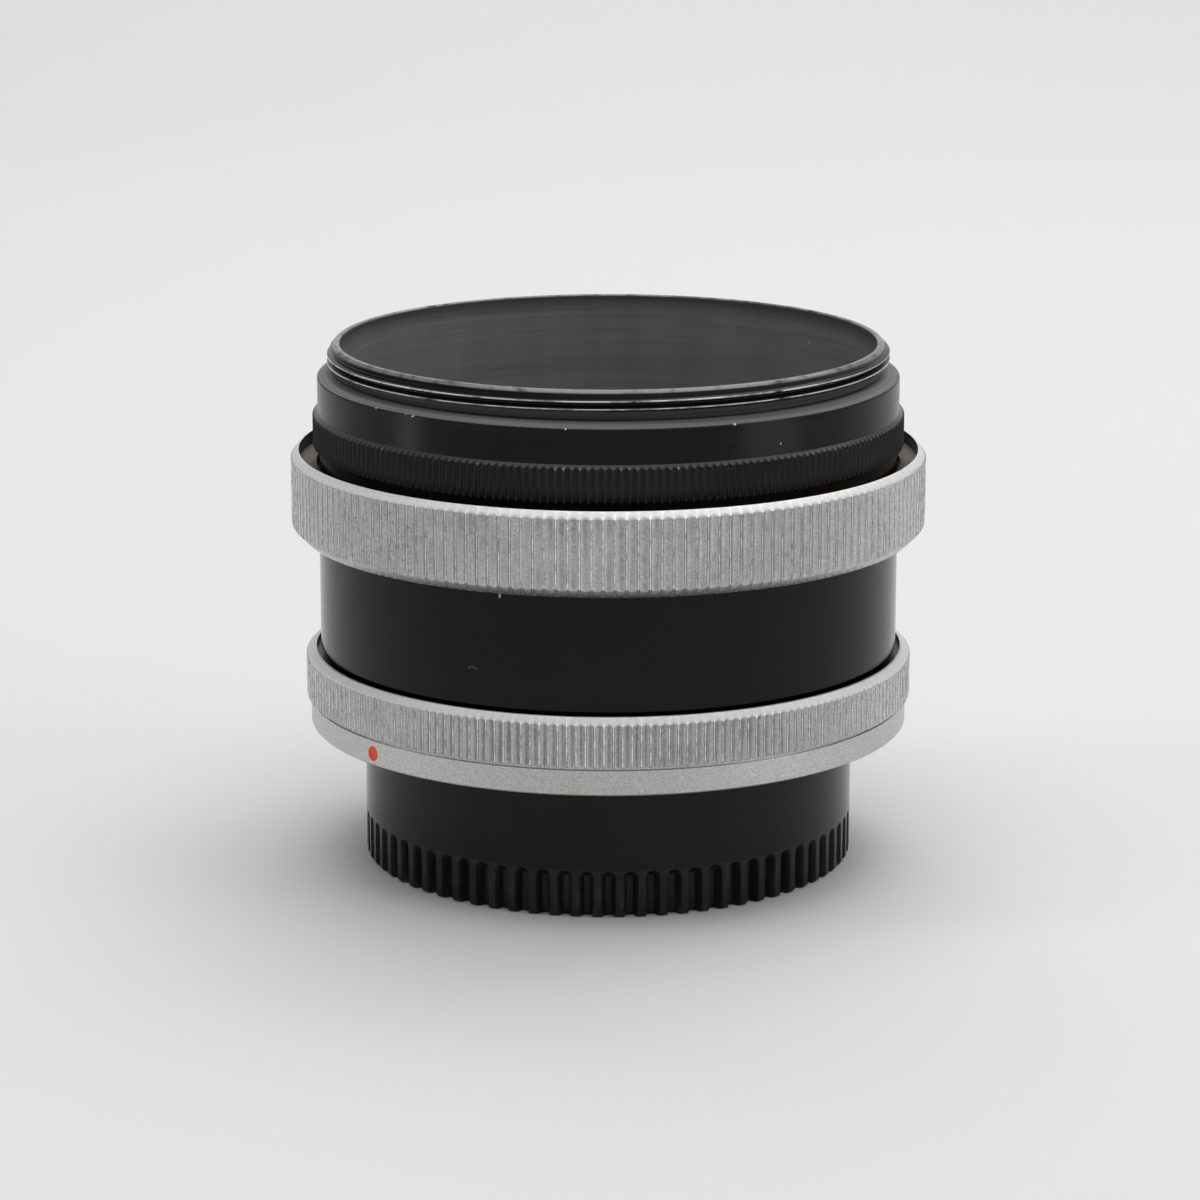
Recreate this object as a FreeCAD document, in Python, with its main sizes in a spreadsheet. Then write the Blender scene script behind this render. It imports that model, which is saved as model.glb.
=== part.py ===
"""Macro coupler on its extension tube, closed by the tube's rear cap.

Millimetres, +Z up along the optical axis, origin at the middle of the cap's underside.
From the bottom up: a ribbed cap, the tube with its knurled lock ring, and the coupler with its
wide lock ring and its male filter thread. Heights are worked out from the two seat planes, where
the cap meets the tube and the tube meets the coupler. Radii are stepped off from the filter
thread, inwards to the three-lug mount and outwards to the lock rings.
"""
import FreeCAD, Part
import math
import os
import Sketcher

Vector = FreeCAD.Vector

# Driving dimensions: name in the sheet, value, meaning
SIZES = [
    # Filter thread and coupler
    ("thread_radius", 29.0, "crests of the male filter thread"),
    ("thread_depth", 0.9, "crests of the thread to the neck under it"),
    ("thread_wall", 1.35, "crests of the thread to the bore of the coupler"),
    ("thread_length", 1.25, "full crests of the thread"),
    ("thread_lead", 0.85, "chamfer at the start of the thread"),
    ("thread_neck_height", 0.85, "neck under the thread"),
    ("rim_edge", 0.15, "small broken edges"),
    ("shoulder_width", 1.05, "crests of the thread to the coupler's wall"),
    ("shoulder_rise", 0.5, "height of the sloping shoulder"),
    ("shoulder_edge", 0.12, "broken edge of the shoulder"),
    ("coupler_height", 14.8, "front seat to the rim of the coupler"),
    ("coupler_neck_step", 0.15, "coupler's wall to the neck that the wide lock ring turns on"),
    ("flange_step", 0.6, "clear opening of the mount to the coupler's inner flange"),
    ("flange_thickness", 1.8, "inner flange that the seat ring is screwed to"),
    ("grip_rise", 0.53, "coupler's wall to the teeth of its own grip"),
    ("grip_gap", 0.16, "wide lock ring to the bevel under the grip"),
    ("grip_height", 3.14, "teeth of the coupler's own grip"),
    ("grip_count", 240, "teeth of the coupler's own grip"),
    ("grip_depth", 0.24, "valleys between those teeth"),
    ("grip_bevel", 0.4, "bevels above and below the grip"),
    # Three-lug mounts
    ("rear_seat_height", 19.5, "underside of the cap to the tube's rear seat"),
    ("tube_length", 20.0, "rear seat to front seat, the extension that the tube gives"),
    ("mount_wall", 1.53, "clear opening of a mount to the neck under its lugs"),
    ("lug_reach", 2.77, "neck to the outside of the lugs"),
    ("lug_span", 55, "degrees taken by one lug"),
    ("lug_count", 3, "lugs on a mount, and claws in a lock ring"),
    ("lug_drop", 2.2, "seat to the underside of the lugs"),
    ("claw_span", 50, "degrees taken by one claw"),
    ("claw_thickness", 1.75, "claws of the lock rings"),
    ("claw_gap", 0.25, "claw to lug, along the axis"),
    ("claw_side_gap", 0.47, "claw to the neck of the mount"),
    ("seat_plate_thickness", 1.0, "plates that seat on the mounts"),
    ("spigot_length", 2.5, "collar that enters the mount"),
    ("spigot_fit", 0.1, "that collar to the clear opening of the mount"),
    ("spigot_wall", 1.0, "wall of that collar"),
    ("washer_thickness", 0.2, "slip washers"),
    ("washer_gap", 0.1, "slip washer to the neck that it goes round"),
    ("turn_gap", 0.3, "gap round everything that turns in a lock ring"),
    ("lock_turn", 60, "degrees from locked to open"),
    ("stop_margin", 3, "degrees left between the stop pin and each end of its slot"),
    ("stop_pin_radius", 0.4, "stop pins"),
    ("stop_pin_seat", 1.6, "depth of the stop pins in their neck"),
    ("stop_pin_reach", 0.85, "stop pins beyond their neck"),
    ("locating_pin_radius", 0.6, "locating pins"),
    ("rear_pin_reach", 1.0, "rear locating pin beyond its seat"),
    ("front_pin_reach", 1.4, "front locating pin beyond its seat"),
    ("pin_fit", 0.02, "pin or screw to its hole"),
    # Wide lock ring
    ("front_lug_room", 2.9, "lugs to the inside of the wide lock ring"),
    ("front_lip_reach", 1.0, "lip of the wide lock ring, inwards"),
    ("front_lip_thickness", 1.2, "lip of the wide lock ring"),
    ("front_ring_wall", 1.7, "inside to the crests of the knurl"),
    ("front_ring_skirt", 0.75, "claws to the bottom of the ring"),
    ("front_mouth_depth", 1.3, "recess above the lip"),
    ("front_rim_width", 0.1, "flat rim round that recess"),
    ("front_top_bevel", 0.75, "bevel from the rim to the crests"),
    ("front_foot_bevel", 1.1, "bevel from the bottom to the crests"),
    ("front_knurl_count", 180, "grooves of the knurl"),
    ("front_knurl_depth", 0.32, "depth of the knurl grooves"),
    ("front_groove_share", 0.35, "flat floor of a knurl groove, as a share of its pitch"),
    # Lower lock ring
    ("rear_lug_room", 1.2, "lugs to the inside of the lower lock ring"),
    ("rear_lip_reach", 0.8, "lip of the lower lock ring, inwards"),
    ("rear_lip_thickness", 1.0, "lip of the lower lock ring"),
    ("rear_ring_skirt", 0.92, "claws to the bottom of the ring"),
    ("rear_mouth_depth", 0.6, "recess above the lip"),
    ("rear_rim_width", 0.32, "flat rim round that recess"),
    ("rear_top_bevel", 0.79, "bevel from the rim to the teeth"),
    ("rear_foot_bevel", 0.2, "bevel under the teeth"),
    ("rear_knurl_count", 216, "teeth"),
    ("rear_knurl_depth", 0.36, "valleys between the teeth"),
    ("band_step", 0.49, "teeth to the plain band"),
    ("band_height", 2.57, "plain band"),
    ("undercut_height", 0.35, "groove between the band and the teeth"),
    ("undercut_depth", 0.2, "depth of that groove"),
    ("dot_angle", 220.5, "degrees from +X to the index dot"),
    ("dot_height", 1.25, "bottom of the ring to the middle of the dot"),
    ("dot_radius", 0.6, "dimple of the index dot"),
    ("dimple_depth", 0.55, "depth of that dimple"),
    ("paint_thickness", 0.3, "paint in the dimple"),
    # Tube
    ("barrel_neck_wall", 2.2, "bore to the neck that the lower lock ring turns on"),
    ("barrel_rim_wall", 1.35, "wall round the base of the mount"),
    ("barrel_edge", 0.35, "chamfers of the tube"),
    ("barrel_side_gap", 0.48, "tube to the side of the lower lock ring's recess"),
    ("barrel_foot_gap", 0.55, "tube to the floor of that recess"),
    ("barrel_top_gap", 0.4, "tube to the claws of the wide lock ring"),
    ("base_rim", 0.3, "base of the three-lug mount beyond its lugs"),
    ("base_thickness", 1.5, "base of the three-lug mount"),
    ("sink_fit", 0.1, "base of the mount to its recess"),
    ("baffle_fit", 0.1, "grooved sleeve to the inside of the tube"),
    ("baffle_end_gap", 0.05, "grooved sleeve to the wire ring above it"),
    ("baffle_wall", 1.2, "grooved sleeve"),
    ("baffle_groove_pitch", 1.5, "grooves of the sleeve"),
    ("baffle_groove_depth", 0.55, "grooves of the sleeve"),
    ("snap_ring_section", 0.5, "open wire ring above the sleeve"),
    ("snap_ring_depth", 0.35, "wire ring into the wall of the tube"),
    ("snap_ring_opening", 30, "degrees left open"),
    ("snap_ring_drop", 0.4, "base of the mount to the wire ring"),
    # Screws
    ("screw_radius", 0.6, "shank of every screw"),
    ("screw_head_radius", 0.95, "head of every screw"),
    ("screw_head_height", 0.6, "head of every screw"),
    ("screw_slot_width", 0.3, "slot of every screw"),
    ("screw_slot_depth", 0.25, "slot of every screw"),
    ("screw_grip", 2.4, "screws into the tube"),
    ("plate_grip", 0.8, "screws into the coupler's seat ring"),
    ("seat_screw_count", 4, "screws of each seat ring"),
    # Rear cap
    ("cap_wall", 2.23, "wall of the cap at its floor"),
    ("cap_mouth_wall", 1.28, "thinner wall at its mouth"),
    ("cap_mouth_depth", 4.0, "depth of that mouth"),
    ("cap_floor", 2.0, "floor of the cap"),
    ("cap_recess_depth", 0.5, "shallow recess in the underside"),
    ("cap_foot_width", 2.05, "foot round that recess, under the grooves"),
    ("cap_edge", 0.3, "bevels of the cap"),
    ("cap_seat_gap", 0.05, "rim of the cap to the tube's seat"),
    ("cap_lug_thickness", 1.0, "lugs of the cap"),
    ("rib_count", 72, "ribs of the cap's grip"),
    ("rib_height", 4.8, "top of the grooves between the ribs"),
    ("rib_groove_depth", 1.0, "grooves between the ribs"),
    ("rib_top_share", 0.36, "flat top of a rib, as a share of its pitch"),
    ("rib_floor_share", 0.32, "flat floor of a groove, as a share of its pitch"),
    # Allowances of the model itself
    ("blank_margin", 0.05, "turned blank beyond the knurl that is cut into it"),
    ("root_overlap", 0.25, "lugs and claws into the ring that carries them"),
    ("cut_margin", 0.3, "cutters beyond what they cut"),
]

doc = FreeCAD.newDocument("macro_coupler")
sheet = doc.addObject("Spreadsheet::Sheet", "dims")
for row, (alias, value, meaning) in enumerate(SIZES, start=1):
    sheet.set(f"A{row}", meaning)
    sheet.set(f"B{row}", str(value))
    sheet.setAlias(f"B{row}", alias)
doc.recompute()

# Radii, from the thread inwards to the mount
COUPLER_WALL = "(dims.thread_radius + dims.shoulder_width)"
COUPLER_NECK = f"({COUPLER_WALL} - dims.coupler_neck_step)"
COUPLER_BORE = "(dims.thread_radius - dims.thread_wall)"
THREAD_NECK = "(dims.thread_radius - dims.thread_depth)"
GRIP_RADIUS = f"({COUPLER_WALL} + dims.grip_rise)"
FRONT_LIP_RADIUS = f"({COUPLER_NECK} + dims.turn_gap)"
FRONT_BORE = f"({FRONT_LIP_RADIUS} + dims.front_lip_reach)"
FRONT_RADIUS = f"({FRONT_BORE} + dims.front_ring_wall)"
FRONT_RIM = f"({FRONT_RADIUS} - dims.front_top_bevel)"
FRONT_MOUTH = f"({FRONT_RIM} - dims.front_rim_width)"
FRONT_PLATE_RADIUS = f"({FRONT_BORE} - dims.turn_gap)"
LUG_RADIUS = f"({FRONT_BORE} - dims.front_lug_room)"
MOUNT_NECK = f"({LUG_RADIUS} - dims.lug_reach)"
THROAT = f"({MOUNT_NECK} - dims.mount_wall)"
CLAW_RADIUS = f"({MOUNT_NECK} + dims.claw_side_gap)"
SPIGOT_RADIUS = f"({THROAT} - dims.spigot_fit)"
SPIGOT_BORE = f"({SPIGOT_RADIUS} - dims.spigot_wall)"
FLANGE_BORE = f"({THROAT} + dims.flange_step)"

# Radii of the tube and its lock ring
REAR_BORE = f"({LUG_RADIUS} + dims.rear_lug_room)"
REAR_LIP_RADIUS = f"({REAR_BORE} - dims.rear_lip_reach)"
REAR_PLATE_RADIUS = f"({REAR_BORE} - dims.turn_gap)"
BARREL_NECK = f"({REAR_LIP_RADIUS} - dims.turn_gap)"
BARREL_BORE = f"({BARREL_NECK} - dims.barrel_neck_wall)"
BASE_RADIUS = f"({LUG_RADIUS} + dims.base_rim)"
SINK_RADIUS = f"({BASE_RADIUS} + dims.sink_fit)"
BARREL_RADIUS = f"({SINK_RADIUS} + dims.barrel_rim_wall)"
REAR_MOUTH = f"({BARREL_RADIUS} + dims.barrel_side_gap)"
REAR_RIM = f"({REAR_MOUTH} + dims.rear_rim_width)"
REAR_RADIUS = f"({REAR_RIM} + dims.rear_top_bevel)"
BAND_RADIUS = f"({REAR_RADIUS} - dims.band_step)"

# Heights, from the seat planes up and down
REAR_SEAT = "dims.rear_seat_height"
REAR_CLAW_TOP = f"({REAR_SEAT} - dims.lug_drop - dims.claw_gap)"
REAR_CLAW_BOTTOM = f"({REAR_CLAW_TOP} - dims.claw_thickness)"
REAR_RING_BOTTOM = f"({REAR_CLAW_BOTTOM} - dims.rear_ring_skirt)"
REAR_LIP_BOTTOM = f"({REAR_SEAT} + dims.seat_plate_thickness + dims.washer_thickness)"
REAR_LIP_TOP = f"({REAR_LIP_BOTTOM} + dims.rear_lip_thickness)"
REAR_RING_TOP = f"({REAR_LIP_TOP} + dims.rear_mouth_depth)"
BAND_TOP = f"({REAR_RING_BOTTOM} + dims.band_height)"
REAR_TEETH_BOTTOM = f"({BAND_TOP} + dims.undercut_height)"

FRONT_SEAT = f"({REAR_SEAT} + dims.tube_length)"
FRONT_CLAW_TOP = f"({FRONT_SEAT} - dims.lug_drop - dims.claw_gap)"
FRONT_CLAW_BOTTOM = f"({FRONT_CLAW_TOP} - dims.claw_thickness)"
FRONT_RING_BOTTOM = f"({FRONT_CLAW_BOTTOM} - dims.front_ring_skirt)"
FRONT_LIP_BOTTOM = f"({FRONT_SEAT} + dims.seat_plate_thickness + dims.washer_thickness)"
FRONT_LIP_TOP = f"({FRONT_LIP_BOTTOM} + dims.front_lip_thickness)"
FRONT_RING_TOP = f"({FRONT_LIP_TOP} + dims.front_mouth_depth)"

BARREL_BOTTOM = f"({REAR_SEAT} + dims.seat_plate_thickness)"
BARREL_FOOT = f"({REAR_LIP_TOP} + dims.barrel_foot_gap)"
BARREL_TOP = f"({FRONT_CLAW_BOTTOM} - dims.barrel_top_gap)"
BASE_BOTTOM = f"({BARREL_TOP} - dims.base_thickness)"
SNAP_TOP = f"({BASE_BOTTOM} - dims.snap_ring_drop)"
SNAP_BOTTOM = f"({SNAP_TOP} - dims.snap_ring_section)"

COUPLER_BOTTOM = f"({FRONT_SEAT} + dims.seat_plate_thickness)"
COUPLER_TOP = f"({FRONT_SEAT} + dims.coupler_height)"
FLANGE_TOP = f"({COUPLER_BOTTOM} + dims.flange_thickness)"
GRIP_FOOT = f"({FRONT_RING_TOP} + dims.grip_gap)"
GRIP_BOTTOM = f"({GRIP_FOOT} + dims.grip_bevel)"
GRIP_TOP = f"({GRIP_BOTTOM} + dims.grip_height)"
THREAD_TOP = f"({COUPLER_TOP} - dims.thread_lead)"
THREAD_BOTTOM = f"({THREAD_TOP} - dims.thread_length)"
THREAD_NECK_BOTTOM = f"({THREAD_BOTTOM} - dims.thread_neck_height)"
SHOULDER = f"({THREAD_NECK_BOTTOM} - dims.shoulder_rise)"

CAP_TOP = f"({REAR_SEAT} - dims.cap_seat_gap)"
CAP_MOUTH_BOTTOM = f"({CAP_TOP} - dims.cap_mouth_depth)"
CAP_FLOOR_TOP = "(dims.cap_recess_depth + dims.cap_floor)"
CAP_LUG_BOTTOM = f"({REAR_SEAT} - dims.lug_drop)"

# Circles that the screws and pins stand on, and the angles of the first of each
LUG_CIRCLE = f"(({MOUNT_NECK} + {LUG_RADIUS}) / 2)"
SINK_CIRCLE = f"(({BARREL_BORE} + {SINK_RADIUS}) / 2)"
NECK_CIRCLE = f"(({BARREL_BORE} + {BARREL_NECK}) / 2)"
FLANGE_CIRCLE = f"(({FLANGE_BORE} + {COUPLER_BORE}) / 2)"
STOP_ANGLE = "(dims.lock_turn + dims.stop_margin)"
FIRST_LUG = 90
FIRST_GAP_SCREW = 30
FIRST_SEAT_SCREW = 45

SCREW_HOLE = "(dims.screw_radius + dims.pin_fit)"
SCREW_SINK = "(dims.screw_head_radius + dims.pin_fit)"
PIN_HOLE = "(dims.locating_pin_radius + dims.pin_fit)"
STOP_HOLE = "(dims.stop_pin_radius + dims.pin_fit)"


def number(expression):
    """The value of an expression on the sheet, as a plain number."""
    return float(sheet.evalExpression(expression))


def origin_part(body, role):
    """A plane or axis of the body's own origin."""
    return next(item for item in body.Origin.OriginFeatures if item.Role == role)


def new_body(name):
    body = doc.addObject("PartDesign::Body", name)
    body.Label = name
    return body


def section(body, name, corners):
    """A closed outline of straight edges in the XZ plane, each corner bound to the sheet."""
    sketch = body.newObject("Sketcher::SketchObject", name)
    sketch.AttachmentSupport = (origin_part(body, "XZ_Plane"), [""])
    sketch.MapMode = "FlatFace"
    points = [Vector(number(across), number(up), 0) for across, up in corners]
    count = len(points)
    lines = [Part.LineSegment(points[i], points[(i + 1) % count]) for i in range(count)]
    sketch.addGeometry(lines, False)
    rules = [Sketcher.Constraint("Coincident", i, 2, (i + 1) % count, 1) for i in range(count)]
    for i, point in enumerate(points):
        rules.append(Sketcher.Constraint("DistanceX", -1, 1, i, 1, point.x))
        rules.append(Sketcher.Constraint("DistanceY", -1, 1, i, 1, point.y))
    sketch.addConstraint(rules)
    for i, (across, up) in enumerate(corners):
        sketch.setExpression(f"Constraints[{count + 2 * i}]", across)
        sketch.setExpression(f"Constraints[{count + 2 * i + 1}]", up)
    return sketch


def revolve(body, name, corners, kind="PartDesign::Revolution", span="360"):
    """A section turned about the optical axis, all the way or over a span of degrees."""
    sketch = section(body, name + "_section", corners)
    feature = body.newObject(kind, name)
    feature.Profile = sketch
    feature.ReferenceAxis = (sketch, ["V_Axis"])
    feature.Midplane = False
    feature.setExpression("Angle", span)
    body.Tip = feature
    return feature


def turned(name, corners):
    """A body that is one turned section."""
    body = new_body(name)
    revolve(body, name + "_turned", corners)
    return body


def around(body, name, features, count):
    """Repeats features evenly about the optical axis."""
    pattern = body.newObject("PartDesign::PolarPattern", name)
    pattern.Originals = features
    pattern.Axis = (origin_part(body, "Z_Axis"), [""])
    pattern.Angle = 360
    pattern.setExpression("Occurrences", count)
    body.Tip = pattern


def tabs(body, name, inner, outer, bottom, top, span):
    """Lugs or claws: short arcs of a ring, the first of them behind the optical axis."""
    corners = [(inner, bottom), (outer, bottom), (outer, top), (inner, top)]
    sketch = section(body, name + "_section", corners)
    turn = FreeCAD.Rotation(Vector(0, 1, 0), FIRST_LUG)
    sketch.AttachmentOffset = FreeCAD.Placement(Vector(), turn)
    tab = body.newObject("PartDesign::Revolution", name + "_first")
    tab.Profile = sketch
    tab.ReferenceAxis = (sketch, ["V_Axis"])
    tab.Midplane = True
    tab.setExpression("Angle", span)
    around(body, name, [tab], "dims.lug_count")


def place(item, placement, angle, circle, height):
    """Binds where a placement is: an angle and a circle about the optical axis, and a height."""
    item.setExpression(placement + ".Base.x", f"({circle}) * cos({angle})")
    item.setExpression(placement + ".Base.y", f"({circle}) * sin({angle})")
    item.setExpression(placement + ".Base.z", height)


def feature_at(body, kind, name, angle, circle, height, turn=FreeCAD.Rotation(), **sizes):
    """A cylinder or cone of the body, added or cut, that starts at a place about the axis."""
    feature = body.newObject(kind, name)
    feature.AttachmentSupport = (origin_part(body, "XY_Plane"), [""])
    feature.MapMode = "FlatFace"
    feature.AttachmentOffset = FreeCAD.Placement(Vector(), turn)
    for size, expression in sizes.items():
        feature.setExpression(size, expression)
    place(feature, "AttachmentOffset", angle, circle, height)
    body.Tip = feature
    return feature


def hole(body, name, angle, circle, bottom, radius, depth):
    return feature_at(body, "PartDesign::SubtractiveCylinder", name, angle, circle, bottom,
                      Radius=radius, Height=depth)


def outwards(angle):
    """Turns an upright cylinder so that it points away from the optical axis."""
    direction = math.radians(number(angle))
    return FreeCAD.Rotation(Vector(0, 0, 1), Vector(math.cos(direction), math.sin(direction), 0))


def radial_hole(body, name, angle, start, height, radius, depth):
    feature_at(body, "PartDesign::SubtractiveCylinder", name, angle, start, height,
               outwards(angle), Radius=radius, Height=depth)


def rod(name, angle, circle, bottom, radius, length, turn=FreeCAD.Rotation()):
    """A plain pin, upright or turned."""
    pin = doc.addObject("Part::Cylinder", name)
    pin.Label = name
    pin.setExpression("Radius", radius)
    pin.setExpression("Height", length)
    pin.Placement = FreeCAD.Placement(Vector(), turn)
    place(pin, "Placement", angle, circle, bottom)
    return pin


def screws(name, first_angle, circle, count, seat, grip, upwards, sunk):
    """A circle of slotted screws. Their heads face up or down from the height of their seat."""
    body = new_body(name)
    body.AllowCompound = True
    height = "dims.screw_head_height"
    if sunk:
        radii = ("dims.screw_radius", "dims.screw_head_radius")
        low, high = radii if upwards else reversed(radii)
        kind = "PartDesign::AdditiveCone"
        sizes = {"Radius1": low, "Radius2": high, "Height": height}
        head_base = f"{seat} - {height}" if upwards else seat
        face = seat
    else:
        kind = "PartDesign::AdditiveCylinder"
        sizes = {"Radius": "dims.screw_head_radius", "Height": height}
        head_base = seat
        face = f"{seat} + {height}"
    shank_base = f"{seat} - {grip}" if upwards else seat
    shank = feature_at(body, "PartDesign::AdditiveCylinder", name + "_shank", first_angle, circle,
                       shank_base, Radius="dims.screw_radius", Height=grip)
    head = feature_at(body, kind, name + "_head", first_angle, circle, head_base, **sizes)
    half_length = "(dims.screw_head_radius + dims.cut_margin)"
    half_width = "dims.screw_slot_width / 2"
    slot = body.newObject("PartDesign::SubtractiveBox", name + "_slot")
    slot.AttachmentSupport = (origin_part(body, "XY_Plane"), [""])
    slot.MapMode = "FlatFace"
    slot.setExpression("Length", f"2 * {half_length}")
    slot.setExpression("Width", "dims.screw_slot_width")
    slot.setExpression("Height", "2 * dims.screw_slot_depth")
    slot.setExpression("AttachmentOffset.Base.x", f"{circle} * cos({first_angle}) - {half_length}")
    slot.setExpression("AttachmentOffset.Base.y", f"{circle} * sin({first_angle}) - {half_width}")
    slot.setExpression("AttachmentOffset.Base.z", f"{face} - dims.screw_slot_depth")
    around(body, name + "_circle", [shank, head, slot], count)
    return body


def knurled(name, blank, crest, depth, count, bottom, top, floor_share="0"):
    """Cuts a straight knurl into a turned blank.

    The knurl is a star-shaped prism that the blank is cut back to. It reaches past both ends of
    the blank, so the blank's own bevels shape the ends of the grooves, and what is turned smaller
    than their floors stays round. Crests are sharp. The flat floor of a groove is a share of its
    pitch, and a share of 0 is a plain V.
    """
    pitch = 2 * math.pi / number(count)
    low = number(f"{bottom} - dims.cut_margin")
    high = number(f"{top} + dims.cut_margin")
    floor = number(f"{crest} - {depth}")
    half_floor = pitch * number(floor_share) / 2
    floor_turns = (-half_floor, half_floor) if half_floor else (0,)
    outline = []
    for tooth in range(round(number(count))):
        corners = [(-pitch / 2, number(crest))] + [(turn, floor) for turn in floor_turns]
        for turn, radius in corners:
            angle = tooth * pitch + turn
            outline.append(Vector(radius * math.cos(angle), radius * math.sin(angle), low))
    star = doc.addObject("Part::Feature", name + "_knurl")
    star.Shape = Part.Face(Part.makePolygon(outline + outline[:1])).extrude(Vector(0, 0, high - low))
    piece = doc.addObject("Part::Common", name + "_knurled")
    piece.Base = blank
    piece.Tool = star
    piece.Refine = False
    piece.Label = name
    return piece


def lock_ring_blank(name, corners, bore, lip, slot_radius, lip_bottom, lip_top, claw_bottom, claw_top):
    """The turned blank of a lock ring: its claws, and the slot in its lip where the stop pin runs."""
    body = turned(name + "_blank", corners)
    tabs(body, name + "_claws", CLAW_RADIUS, f"{bore} + dims.root_overlap", claw_bottom, claw_top,
         "dims.claw_span")
    inner = f"{lip} - dims.cut_margin"
    low = f"{lip_bottom} - dims.cut_margin"
    high = f"{lip_top} + dims.cut_margin"
    slot = [(inner, low), (slot_radius, low), (slot_radius, high), (inner, high)]
    revolve(body, name + "_stop_slot", slot, kind="PartDesign::Groove",
            span="dims.lock_turn + 2 * dims.stop_margin")
    return body


def seat_ring(name, seat, flange_radius):
    """A plate that seats on a mount, with a collar that centres it in the clear opening."""
    collar_end = f"{seat} - dims.spigot_length"
    plate_top = f"{seat} + dims.seat_plate_thickness"
    return turned(name, [
        (SPIGOT_BORE, collar_end),
        (SPIGOT_RADIUS, collar_end),
        (SPIGOT_RADIUS, seat),
        (flange_radius, seat),
        (flange_radius, plate_top),
        (SPIGOT_BORE, plate_top),
    ])


def slip_washer(name, neck, outer, bottom, top):
    inner = f"{neck} + dims.washer_gap"
    return turned(name, [(inner, bottom), (outer, bottom), (outer, top), (inner, top)])


# Coupler
coupler_blank = turned("coupler_body_blank", [
    (FLANGE_BORE, COUPLER_BOTTOM),
    (COUPLER_NECK, COUPLER_BOTTOM),
    (COUPLER_NECK, GRIP_FOOT),
    (f"{GRIP_RADIUS} + dims.blank_margin", GRIP_BOTTOM),
    (f"{GRIP_RADIUS} + dims.blank_margin", GRIP_TOP),
    (COUPLER_WALL, f"{GRIP_TOP} + dims.grip_bevel"),
    (COUPLER_WALL, f"{SHOULDER} - dims.shoulder_edge"),
    (f"{COUPLER_WALL} - dims.shoulder_edge", SHOULDER),
    (THREAD_NECK, THREAD_NECK_BOTTOM),
    (THREAD_NECK, THREAD_BOTTOM),
    ("dims.thread_radius", THREAD_BOTTOM),
    ("dims.thread_radius", THREAD_TOP),
    ("dims.thread_radius - dims.thread_lead", COUPLER_TOP),
    (f"{COUPLER_BORE} + dims.rim_edge", COUPLER_TOP),
    (COUPLER_BORE, f"{COUPLER_TOP} - dims.rim_edge"),
    (COUPLER_BORE, FLANGE_TOP),
    (FLANGE_BORE, FLANGE_TOP),
])
flange_hole = hole(coupler_blank, "flange_hole", FIRST_SEAT_SCREW, FLANGE_CIRCLE, COUPLER_BOTTOM,
                   SCREW_HOLE, "dims.flange_thickness")
around(coupler_blank, "flange_holes", [flange_hole], "dims.seat_screw_count")
FRONT_STOP_START = f"({COUPLER_NECK} - dims.stop_pin_seat)"
FRONT_STOP_HEIGHT = f"({FRONT_LIP_BOTTOM} + {FRONT_LIP_TOP}) / 2"
radial_hole(coupler_blank, "coupler_stop_hole", STOP_ANGLE, FRONT_STOP_START, FRONT_STOP_HEIGHT,
            STOP_HOLE, "dims.stop_pin_seat + dims.cut_margin")
coupler_body = knurled("coupler_body", coupler_blank, GRIP_RADIUS, "dims.grip_depth", "dims.grip_count",
                       COUPLER_BOTTOM, COUPLER_TOP)

STOP_PIN_LENGTH = "dims.stop_pin_seat + dims.stop_pin_reach"
front_stop_pin = rod("front_stop_pin", STOP_ANGLE, FRONT_STOP_START, FRONT_STOP_HEIGHT,
                     "dims.stop_pin_radius", STOP_PIN_LENGTH, outwards(STOP_ANGLE))

front_slip_washer = slip_washer("front_slip_washer", COUPLER_NECK, FRONT_PLATE_RADIUS, COUPLER_BOTTOM,
                                FRONT_LIP_BOTTOM)

coupler_seat_ring = seat_ring("coupler_seat_ring", FRONT_SEAT, FRONT_PLATE_RADIUS)
plate_thread = hole(coupler_seat_ring, "plate_thread", FIRST_SEAT_SCREW, FLANGE_CIRCLE,
                    f"{COUPLER_BOTTOM} - dims.plate_grip", SCREW_HOLE, "dims.plate_grip + dims.cut_margin")
around(coupler_seat_ring, "plate_threads", [plate_thread], "dims.seat_screw_count")
hole(coupler_seat_ring, "coupler_pin_hole", FIRST_LUG, LUG_CIRCLE, FRONT_SEAT, PIN_HOLE,
     "dims.seat_plate_thickness")

coupler_seat_screws = screws("coupler_seat_screws", FIRST_SEAT_SCREW, FLANGE_CIRCLE, "dims.seat_screw_count",
                             FLANGE_TOP, "(dims.flange_thickness + dims.plate_grip)", True, False)

coupler_locating_pin = rod("coupler_locating_pin", FIRST_LUG, LUG_CIRCLE,
                           f"{FRONT_SEAT} - dims.front_pin_reach", "dims.locating_pin_radius",
                           "dims.front_pin_reach + dims.seat_plate_thickness")

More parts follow.
